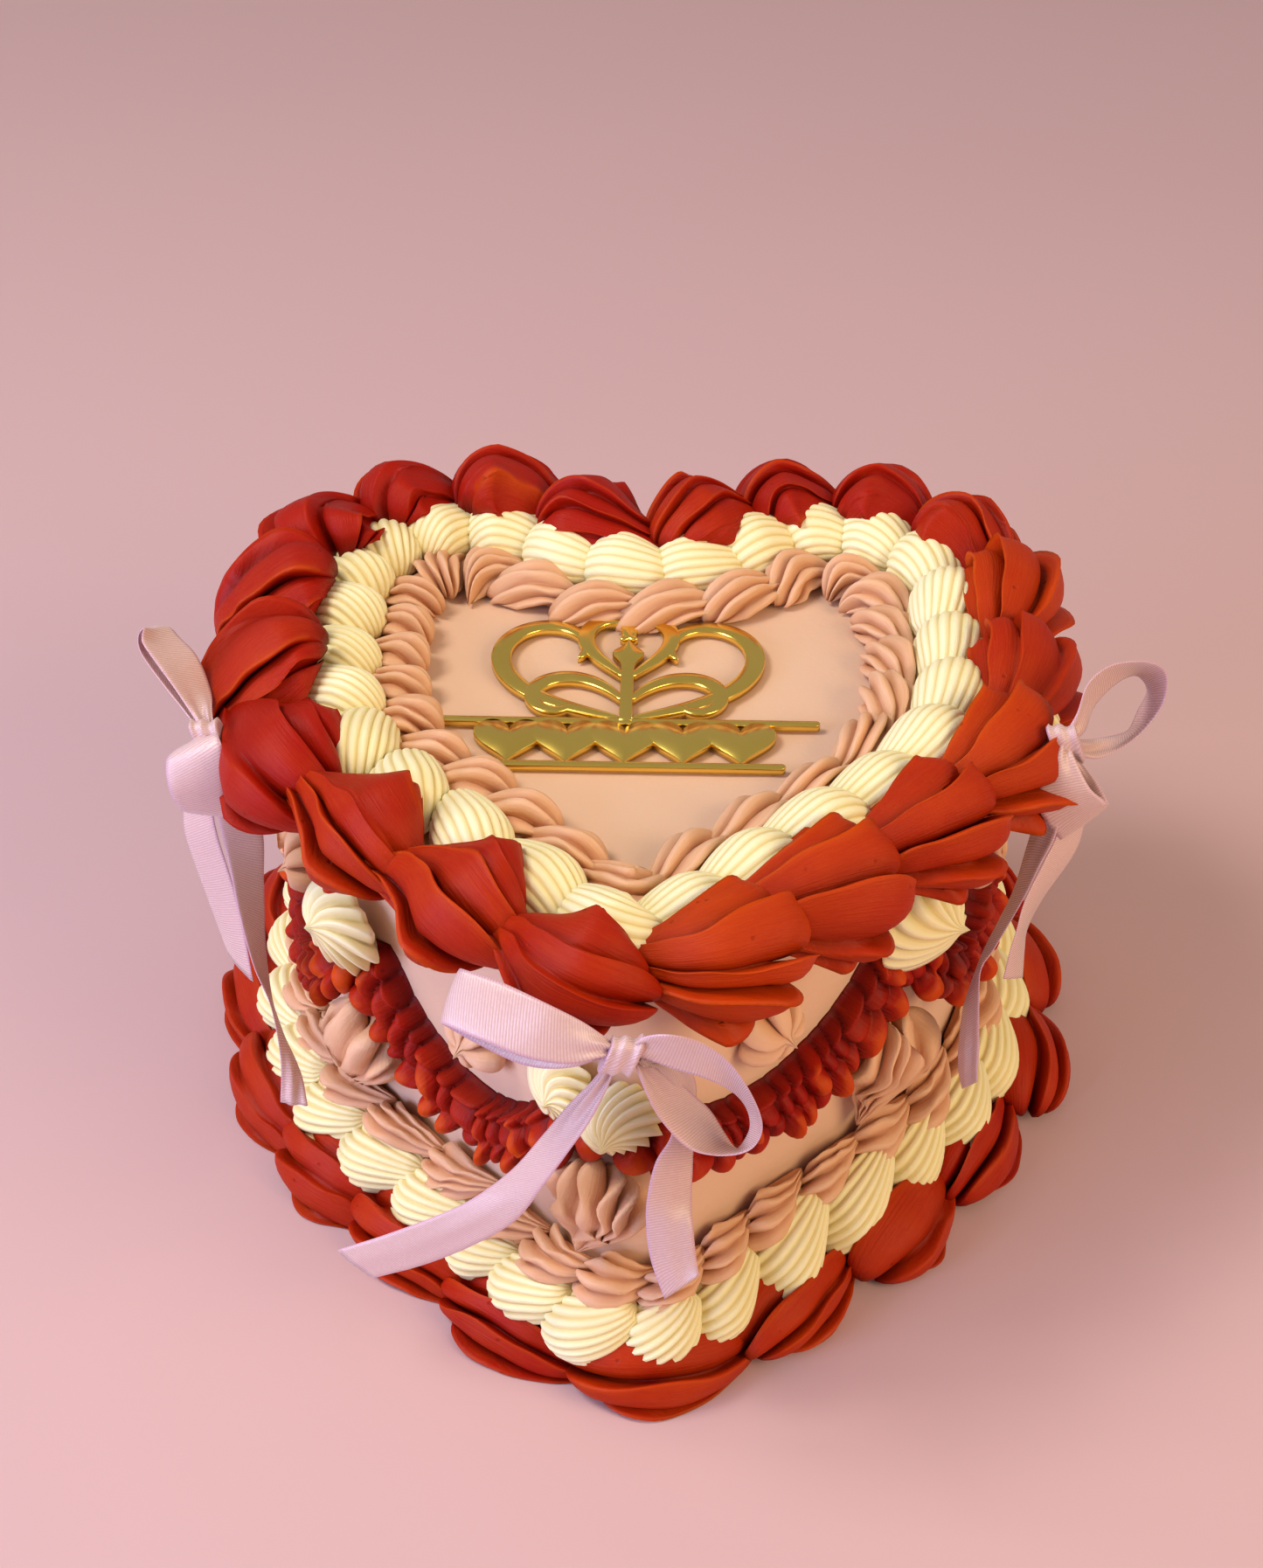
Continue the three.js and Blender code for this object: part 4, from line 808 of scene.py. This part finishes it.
# Each cream star: distance, height, stand from the wall, size, swirl and the reach of its point.
STARS = [
    (*JOINTS[0], 5, 1.16, 0.7, (-0.15, 0.25)), (*FRONT_PAIR[0], 1.5, 0.98, 1.5, (0.2, 0.1)),
    (*JOINTS[2], 4, 1.08, 0.9, (0.75, -0.1)), (*JOINTS[3], 3, 1.0, 1.2, (0.5, 0.1)),
    (*JOINTS[4], 3, 1.0, 0.8, (0.2, 0.3)), (*JOINTS[5], 3, 1.0, 1.1, (-0.3, 0.2)),
    (*JOINTS[6], 5, 1.1, 1.0, (-0.4, 0.2)), (*FRONT_PAIR[1], 3, 0.9, 1.3, (-0.5, -0.5)),
]
SMALL_STAR_RISE = 25


def put_star(name, star, reach, swirl, seed, place, stand, paint, slot, node, size=1.0):
    """One star as a closed piece on the wall, in place of its CAD node."""
    x, y, lift, uv, ridge = star_surface(star, reach, swirl, seed)
    points = on_wall(x * size, y * size, lift * size, place[0], place[1], stand).reshape(-1, 3)
    values = {"ridge": ridge, "tone": np.full(len(ridge), (seed * 0.37) % 1)}
    faces = faced_out(points, capped_faces(*x.shape, both=False))
    mesh_piece(name, points, faces, paint, slot, node, uv, values)


for k, (s, z, stand, size, swirl, reach) in enumerate(STARS):
    put_star(f"joint_star_{k + 1}", CREAM_STAR, reach, swirl, k, (s, z), stand, cream_paint, "cream_icing",
             f"cream_star_{k + 1}", size)
for i in range(len(JOINTS)):
    (start, _), (end, _) = span_between(i)
    place = ((start + end) / 2, LOW_POINTS[i] + SMALL_STAR_RISE)
    put_star(f"small_star_{i + 1}", PEACH_STAR, (0.1, -0.35), 0.3, 20 + i, place, 0.2, peach_paint,
             "peach_icing", f"peach_star_{i + 1}")
for k, (s, z, stand) in enumerate(DAB_PLACES):
    put_star(f"cream_dab_{k + 1}_iced", CREAM_DAB, (0.1, 0.1), 0.6, 40 + k, (s, z), stand, cream_paint,
             "cream_icing", f"cream_dab_{k + 1}")

# Peach drops under the joints: shells of the open star tip pressed on the wall and drawn down to a curling
# point.
PEACH_DROP = {
    "steps": 36, "columns": ridge_columns(8, 1.3), "span": 135, "width": 30, "rise": 24, "tail": 0.02,
    "depth": 0.3, "ripple": 0.1, "twist": 1.1, "head": 0.0, "tail_length": 0.2, "bend": 0.6, "sink": -0.05,
    "scallop": 0.3, "taper": 1.0, "uneven": 0.3, "full": 0.32, "flutter": 0.26, "settle": 0.05,
}
DROP_SPAN = 23.0
DROP_STAND = 3
LEAST_LIFT = -2.8
# Each drop: how far it stands from its joint round the wall and below it, and its roll in degrees.
DROPS = [(0, 45, 90), (0, 40, 96), (-5, 45, 84), (0, 45, 93), (0, 45, 88), (0, 45, 92), (0, 45, 86)]
for k, ((s, z), (beside, below, roll)) in enumerate(zip(JOINTS, DROPS)):
    along, aside, lift, uv, values = shell_form(PEACH_DROP, np.full((1, 1, 1), DROP_SPAN), 60 + k)
    roll = np.radians(roll)
    x, y = along * np.cos(roll) - aside * np.sin(roll), along * np.sin(roll) + aside * np.cos(roll)
    points = on_wall(x, y, np.maximum(lift, LEAST_LIFT), s + beside, z - below, DROP_STAND).reshape(-1, 3)
    faces = faced_out(points, shell_faces(along.shape, 1))
    mesh_piece(f"drawn_drop_{k + 1}", points, faces, peach_paint, "peach_icing", f"peach_drop_{k + 1}", uv,
               values)

# Bows: 12 mm satin ribbon, tied in a single bow whose knot is pushed into a dab of icing. Woven so tightly
# that it shines along its length, with a selvedge thread along both edges; the tails are cut on the slant.
RIBBON_WIDTH = 13
RIBBON_THICKNESS = 0.5
STRIP_STEPS = 9
STRIP_POINTS = 13
WRAP_ROWS = 15
WRAP_COLUMNS = 40
WRAP_HALF = (3.6, 2.4, 4.6)
KNOTS = {
    "bow_front": (-1.4, -127.5, 125.2), "bow_left": (-104.6, -26.5, 132), "bow_right": (103.5, -25.5, 134),
}
# The strips of each bow, two loops and two tails: places along one edge and the other (x, y, z, x, y, z).
BOWS = {
    "bow_front": [
        [(-3.4, -127, 128.7, -3.1, -127, 125), (-5.7, -127, 130.9, -5.2, -129.5, 126.6),
         (-10, -126.5, 134.2, -12.7, -131.5, 126.3), (-17.4, -125.5, 138.2, -21.8, -131.5, 127.9),
         (-27, -121, 139.8, -31.4, -129, 130.4), (-33.8, -117, 139, -37.8, -125.5, 130.5),
         (-36.5, -114.5, 137.7, -40.4, -122.5, 128.9), (-36, -112.5, 135.1, -39.8, -120, 125.7),
         (-30.5, -114, 131.8, -33.1, -122, 122.6), (-20.8, -119, 128.9, -22.5, -126, 120.2),
         (-11.1, -124, 127.7, -12.9, -128, 121.6), (-4.4, -126, 127.2, -4.1, -126, 123.5)],
        [(0.7, -127, 127.2, 1.1, -127, 123.6), (3.2, -129, 132.1, 3.2, -128.5, 125.6),
         (8.7, -130.9, 134.8, 9.4, -128.1, 122.3), (15.3, -129.8, 131.8, 16.4, -127.7, 119.2),
         (21.5, -129, 125.6, 22.2, -125.5, 113.4), (26.3, -128.8, 116.6, 25.9, -122.7, 105.5),
         (29.4, -128.1, 106.2, 27.1, -120.4, 96.7), (28.5, -127.1, 98.6, 25, -119.4, 89.4),
         (24.6, -127, 95.1, 23.8, -117, 86.9), (18.8, -126.6, 94, 21.8, -115.4, 89.1),
         (12.9, -126, 95.9, 18.1, -115.5, 97), (7, -125.5, 104.1, 13.7, -116.5, 103.4),
         (3.7, -125.5, 112.6, 8.2, -120, 113.7), (1.6, -126, 120.5, 2.7, -125, 123)],
        [(-3.5, -127, 124.5, -2, -127, 122.5), (-8.2, -124.5, 114, -4.8, -127, 113.9),
         (-13.4, -121.5, 103.8, -8.5, -127.5, 104.6), (-19.7, -119, 91.1, -13.3, -127, 94.6),
         (-26.9, -117, 78, -19.1, -125, 81.6), (-36.4, -115.5, 66.5, -26.1, -121.5, 65.9),
         (-45.5, -112.5, 57, -36.9, -117, 51.9), (-59.1, -107.5, 44.3, -49.5, -112, 39.1),
         (-71.6, -104, 34.7, -62.7, -108, 29.3)],
        [(1, -126, 124.4, 1.6, -126, 121.6), (4.4, -123, 117.1, 8.7, -120, 116.2),
         (6.9, -120.5, 108.5, 14, -116, 108.9), (8.9, -118.5, 98.4, 15.1, -112, 95.6),
         (9.5, -118.6, 91.5, 14.6, -112.4, 81.8), (6.1, -119.8, 84.2, 14.5, -114.7, 76.2),
         (4.3, -121, 74.5, 14.4, -117, 69.3), (4, -121.5, 65.6, 14.9, -121.5, 64.7),
         (5.1, -123, 55.3, 15.8, -123.5, 56.2), (8.5, -125, 43.7, 16.5, -125.5, 52.8)],
    ],
    "bow_left": [
        [(-106.5, -26, 131.1, -103.8, -26, 132), (-108.4, -23, 133.6, -105.1, -20, 134.9),
         (-113.2, -18, 138.6, -107.1, -10, 134.2), (-118.9, -12.4, 143.8, -110.8, -3.6, 139.7),
         (-122.8, -8.7, 147.6, -115.6, 0.7, 142.5), (-122.8, -6, 149.9, -119.5, 4, 143.8),
         (-124.4, -6, 147.3, -125, 4, 142.1), (-123.4, -9, 144.4, -124.5, 1, 138.1),
         (-117.7, -15, 139.8, -118.7, -6, 134.3), (-111.5, -21, 135.6, -112, -14, 131.4),
         (-107, -25, 132, -106, -23, 131.5)],
        [(-106.6, -27, 132.9, -102.6, -27, 134.1), (-113.9, -31, 130.5, -101.8, -31, 136.1),
         (-114.9, -34, 128.5, -100.5, -34, 133.6), (-114.4, -35.5, 122.4, -100.7, -35.5, 125.4),
         (-113, -34, 116, -100.8, -34, 115.4), (-112.3, -31, 113, -99.8, -31, 111.9),
         (-109.6, -28, 116.5, -98.8, -28, 118.1), (-107, -26.5, 125, -100.8, -26.5, 126.5),
         (-105.2, -26, 130.6, -102.6, -26, 131.2)],
        [(-107, -26, 130, -104.4, -26, 130.1), (-113.7, -22, 113.1, -104.8, -29, 117.4),
         (-115.3, -20.8, 104.7, -106.1, -28.2, 109.8), (-115.1, -22.6, 97.3, -105.3, -29.4, 102.1),
         (-111.3, -25.1, 80.3, -101.5, -32.9, 83.5), (-106.9, -28, 62.8, -99.2, -37, 61.1)],
        [(-105.1, -27, 130.8, -102.5, -27, 130.9), (-104.6, -31, 120.4, -98.5, -24, 113.6),
         (-104.9, -29.4, 110.8, -94.6, -26.6, 103.4), (-102.9, -32.3, 98.5, -95.1, -29.7, 88.5),
         (-100.2, -38.5, 84.3, -95.2, -35.5, 72.8), (-97.4, -42.5, 71.6, -94.1, -40.5, 59.3),
         (-92.9, -48.4, 63, -91.8, -44.6, 50.9), (-91, -53, 49.4, -86.6, -51, 42.5),
         (-91.9, -55, 35.6, -84.7, -56, 35.5)],
    ],
    "bow_right": [
        [(102.7, -25, 135.7, 104.1, -25, 134.1), (105.5, -24, 141.6, 108.2, -22, 134.6),
         (107.9, -20.8, 148.5, 111.2, -15.2, 137.6), (113.8, -16.3, 150.8, 116.8, -9.7, 140.5),
         (122.5, -13, 149.6, 122.4, -5, 139.6), (128, -10.8, 145.3, 125.7, -4.2, 134.6),
         (129.1, -11, 138.3, 124.1, -5, 129.2), (126.9, -13, 133, 122, -8, 125.6),
         (121.2, -17, 128.4, 119.4, -9, 124.4), (113.9, -21, 126.4, 113.5, -14, 126.8),
         (108.6, -24, 128.6, 108.4, -20, 130.9), (104.2, -25, 133.1, 103.6, -25, 135.2)],
        [(101.3, -26, 135.4, 104, -26, 134.4), (98.8, -29, 132.6, 106, -30, 131.3),
         (97.5, -31, 126, 109.4, -33, 126), (97.6, -32.9, 119.4, 112.9, -33.1, 122.6),
         (102.4, -32.5, 111.4, 114.2, -32.5, 120.8), (104.7, -30.5, 108.2, 114.8, -30.5, 119.7),
         (106.5, -28, 114.2, 111.7, -29, 124.7), (104.9, -27, 124.4, 108.9, -28, 128),
         (102.9, -26, 132.7, 105, -26.5, 132.1)],
        [(101.4, -26, 134.3, 103.2, -26, 133.8), (99.6, -26, 120.8, 102.6, -31, 122.1),
         (98.5, -26, 112.5, 102.4, -34, 112.1), (96.3, -29, 102.2, 98.8, -38, 105.6),
         (93.8, -32, 91.3, 94.9, -42, 97.6), (88.3, -37, 79.2, 88.6, -47, 86.1),
         (86.1, -41, 75.6, 85.2, -51, 82.3), (82.6, -47, 67.3, 85.1, -55, 74.3),
         (81.6, -52, 57.8, 85.9, -57, 62.7), (82, -54, 50.5, 86, -59, 56.5),
         (83.3, -55, 45, 86.1, -60, 52.6)],
        [(103.3, -25, 133.6, 105.5, -25, 133.1), (103.9, -26, 120.9, 111, -22, 116.5),
         (103.7, -28, 107.8, 111.5, -21, 104.2), (100.8, -32, 102, 109.3, -24, 97.5),
         (96, -38.7, 94.2, 102.4, -29.3, 88.3), (94.2, -42.7, 88.2, 98.5, -33.3, 81.4),
         (92.8, -45, 82.9, 97.9, -36, 76.4), (91.7, -47, 75.9, 97.8, -39, 69.3)],
    ],
}

satin = Paint("pink_satin", Roughness=0.34, Sheen_Weight=0.35, Sheen_Roughness=0.4, Specular_IOR_Level=0.95,
              Anisotropic=0.55)
weave = satin.node("ShaderNodeUVMap", {}, {})
along_it, across_it = (satin.node("ShaderNodeSeparateXYZ", {}, {"Vector": weave}, axis) for axis in "XY")
edge_share = (across_it - 0.5).math("ABSOLUTE") * 2.0
selvedge = ((edge_share - 0.86) * 12.0).clamp()
twill = (along_it * 9.0 + across_it * 34.0).math("SINE") * 0.5 + 0.5
thread = (along_it * 26.0 - across_it * 60.0).math("SINE") * 0.5 + 0.5
# Painted glints: fine specks of the lighter pink along the twill stand in for glints of light on the weave,
# on top of the weave's own pattern.
painted_glints = satin.noise(satin.place(), 1500.0, 1.0)
tone = satin.blend(painted_glints * twill, linear(203, 165, 162), linear(230, 198, 192))
satin.set(Base_Color=satin.blend(selvedge * 0.45, tone, linear(212, 160, 190)), Roughness=0.2 + 0.18 * twill)
satin.relief(twill * 0.6 + thread * 0.4 + selvedge * 0.8, 0.00012, 0.5)


def ribbon_strip(controls):
    """A closed thin strip whose two edges run smoothly through the controls (one edge's x, y, z, then the
    other's). Its section has a front, a back and a narrow edge on each side; where it is drawn together at
    the knot it buckles into small folds. Also gives its UV map and its length."""
    curve = smooth_through(controls, (len(controls) - 1) * STRIP_STEPS + 1)
    centre, width = (curve[:, :3] + curve[:, 3:]) / 2, curve[:, 3:] - curve[:, :3]
    wide = np.linalg.norm(width, axis=1)[:, None]
    tangent = np.gradient(centre, axis=0)
    length = np.concatenate([[0], np.cumsum(np.linalg.norm(np.diff(centre, axis=0), axis=1))])
    face = np.cross(tangent, width)
    face /= np.linalg.norm(face, axis=1)[:, None]
    across = np.concatenate([np.linspace(-1, 1, STRIP_POINTS), np.linspace(1, -1, STRIP_POINTS)])
    side = np.repeat([1.0, -1.0], STRIP_POINTS)
    thin = np.where(np.abs(across) > 0.99, 0.4, 1.0)
    gather = np.clip(1 - wide / RIBBON_WIDTH, 0, 1) ** 1.3 * 1.5
    fold = gather * np.cos(across * 5.2 + 0.8) * (1 - across ** 4) + 0.35 * (1 - across ** 2)
    points = centre[:, None] + width[:, None] * (across / 2)[None, :, None]
    points = points + face[:, None] * (side * thin * RIBBON_THICKNESS / 2 + fold)[..., None]
    uv = np.stack(np.broadcast_arrays(length[:, None], across * 0.5 + 0.5), -1)
    return points, uv, length[-1]


def knot_wrap(centre, side):
    """The wrap at a bow's middle: a flat band about 7 mm wide drawn tight round the gathered ribbon, slanting
    a little, with two soft folds along it. The side is +1 or -1 for the way it slants. It adds no length."""
    u = np.linspace(-1, 1, WRAP_ROWS)[:, None]
    v = np.linspace(0, 2 * np.pi, WRAP_COLUMNS, endpoint=False)[None, :]
    around_y, around_z = (np.sign(turn) * np.abs(turn) ** 0.7 for turn in (np.cos(v), np.sin(v)))
    closed = np.clip((1 - np.abs(u)) / 0.12, 0, 1) ** 0.5
    swell = (1 + 0.1 * np.cos(u * 6 + 0.7) + 0.16 * u ** 2) * (0.72 + 0.28 * closed)
    x = u * WRAP_HALF[0] + 0.5 * np.sin(v) * side + side * 0.25 * around_z * 4.4
    points = np.stack([x, WRAP_HALF[1] * swell * around_y, WRAP_HALF[2] * swell * around_z], -1)
    uv = np.stack(np.broadcast_arrays(v * 4, u * 0.5 + 0.5), -1)
    return points + np.array(centre), uv, 0


def joined(parts):
    """The points and outward quads of closed parts as one mesh. Each part is a grid of points, (row, column,
    place), and gets caps at its ends where they aren't points already."""
    points, faces, used = [], [], 0
    for part in parts:
        rows, columns = part.shape[:2]
        ends_in_point = np.ptp(part[0], axis=0).max() == 0
        quads = grid_faces(rows, columns) if ends_in_point else capped_faces(rows, columns)
        points.append(part.reshape(-1, 3))
        faces.append(faced_out(points[-1], quads) + used)
        used += rows * columns
    return np.vstack(points), np.vstack(faces)


for name, strips in BOWS.items():
    wrap = knot_wrap(KNOTS[name], 1 if name == "bow_front" else -1)
    grids, maps, lengths = zip(*map(ribbon_strip, strips), wrap)
    uv = np.vstack([part.reshape(-1, 2) for part in maps])
    bow = mesh_piece(f"satin_{name}", *joined(grids), satin, "satin_ribbon", name, uv)
    sum(lengths) * MM

# Gilt ornament: cut from thin mirror sheet with a fine bright bevel, laid flat on the coat. Two rules hold a
# row of small hearts, and scrolls rise from a stem above them.
ORNAMENT_X = -4
RULE_Y = -6.6
LOW_RULE_Y = -24.4
HEART_PITCH = 14.5
SHEET = 2.0
BEVEL = 0.25
BED = CAKE_HEIGHT + 0.5
HEART_POINTS = 72
SCROLL_ROWS = 90
# Each scroll: its start above the rule, its heading, its two turns, its length and its width.
SCROLLS = [(1, 0.36, (-0.7, 5.7), 86, 5.2), (9, 1.0, (-0.9, -4.2), 46, 4.6), (19, 1.0, (-1.9, 6.9), 46, 4.4)]


def cut_strip(line, half, rise):
    """A flat strip along a middle line (x, y per row), with a half width per row, kept to at least 0.02 mm,
    and a bevelled top edge. The rise lifts the top a hair so that crossing strips don't share a plane."""
    slope = np.gradient(line, axis=0)
    slope /= np.linalg.norm(slope, axis=1)[:, None]
    side = np.stack([-slope[:, 1], slope[:, 0]], 1)
    top = BED + SHEET + rise
    reach = np.array([-1, -1, -1, 0, 1, 1, 1, 0])
    inset = np.array([0, 0, BEVEL, 0, BEVEL, 0, 0, 0])
    height = np.array([BED, top - BEVEL, top, top, top, top - BEVEL, BED, BED])
    out = np.sign(reach) * np.maximum(half[:, None] - inset, 0.02)
    xy = line[:, None] + side[:, None] * out[..., None]
    return np.dstack([xy, np.broadcast_to(height, out.shape)])


def rule_strip(x, y, length, width, rise):
    """A straight strip with rounded ends."""
    t = np.concatenate([np.linspace(0, 0.02, 8), np.linspace(0.04, 0.96, 12), np.linspace(0.98, 1, 8)])
    line = np.stack([x + (t - 0.5) * length, np.full(len(t), y)], 1)
    end = np.clip(np.minimum(t, 1 - t) * length / (width / 2), 0, 1)
    return cut_strip(line, width / 2 * np.sqrt(1 - (1 - end) ** 2) + 0.02, rise)


def scroll_strip(start, heading, curl, length, width, side, rise):
    """A strip whose heading turns by a linear and a squared share of its length, thin at both ends; the
    side -1 mirrors it."""
    t = np.linspace(0, 1, SCROLL_ROWS)
    angle = heading + curl[0] * t + curl[1] * t ** 2
    step = np.stack([np.cos(angle), np.sin(angle)], 1) * length / (SCROLL_ROWS - 1)
    line = np.array(start) + np.cumsum(step, 0) - step[0]
    end = np.clip(np.minimum(t, 1 - t) / 0.02, 0.05, 1) ** 0.5
    half = width / 2 * (0.3 + 0.7 * np.sin(np.pi * t) ** 0.8) * end
    line[:, 0] = ORNAMENT_X + side * (line[:, 0] - ORNAMENT_X)
    return cut_strip(line if side > 0 else line[::-1], half if side > 0 else half[::-1], rise)


def small_heart(x, y, size, rise):
    """A heart as rings from the middle of its top out over the bevel, down and in to the middle below."""
    a = np.linspace(0, 2 * np.pi, HEART_POINTS, endpoint=False)
    shape_x = 16 * np.sin(a) ** 3 * size / 32
    shape_y = (13 * np.cos(a) - 5 * np.cos(2 * a) - 2 * np.cos(3 * a) - np.cos(4 * a) + 2.6) * size / 29
    top = BED + SHEET + rise
    rings = [(0.0, top), (0.97, top), (1.0, top - BEVEL), (1.0, BED), (0.0, BED)]
    rings = [[x + shape_x * k, y + shape_y * k, np.full(HEART_POINTS, z)] for k, z in rings]
    return np.stack([np.stack(ring, 1) for ring in rings])


ornament_parts = [rule_strip(ORNAMENT_X, RULE_Y, 98, 2.2, 0.0),
                  rule_strip(ORNAMENT_X, LOW_RULE_Y, 80, 2.2, 0.01)]
for i in range(-2, 3):
    place = ORNAMENT_X + i * HEART_PITCH, (RULE_Y + LOW_RULE_Y) / 2
    ornament_parts.append(small_heart(*place, 17.8, 0.02 + 0.01 * i))
for side in (-1, 1):
    for number, (up, heading, curl, length, width) in enumerate(SCROLLS):
        start, rise = (ORNAMENT_X + 1, RULE_Y + up), 0.06 + 0.02 * number + 0.01 * side
        ornament_parts.append(scroll_strip(start, heading, curl, length, width, side, rise))
stem_t = np.linspace(0, 1, 40)
stem_line = np.stack([np.full(40, float(ORNAMENT_X)), RULE_Y + stem_t * 35], 1)
stem_half = 1.7 + 2.5 * np.exp(-((stem_t - 0.84) / 0.09) ** 2) - 1.69 * np.clip((stem_t - 0.84) / 0.16, 0, 1)
ornament_parts.append(cut_strip(stem_line, stem_half, 0.13))

gilt = Paint("gilt_mirror", Metallic=1.0)
gilt_cloud = gilt.noise(gilt.place(), 40.0)
gilt.set(Base_Color=gilt.blend(gilt_cloud, linear(232, 198, 88), linear(246, 216, 110)),
         Roughness=0.14 + 0.14 * gilt.noise(gilt.place(), 260.0, 3.0))
gilt.relief(gilt_cloud, 0.0004, 0.3)
mesh_piece("gilt_ornament", *joined(ornament_parts), gilt, "gilt", "ornament")
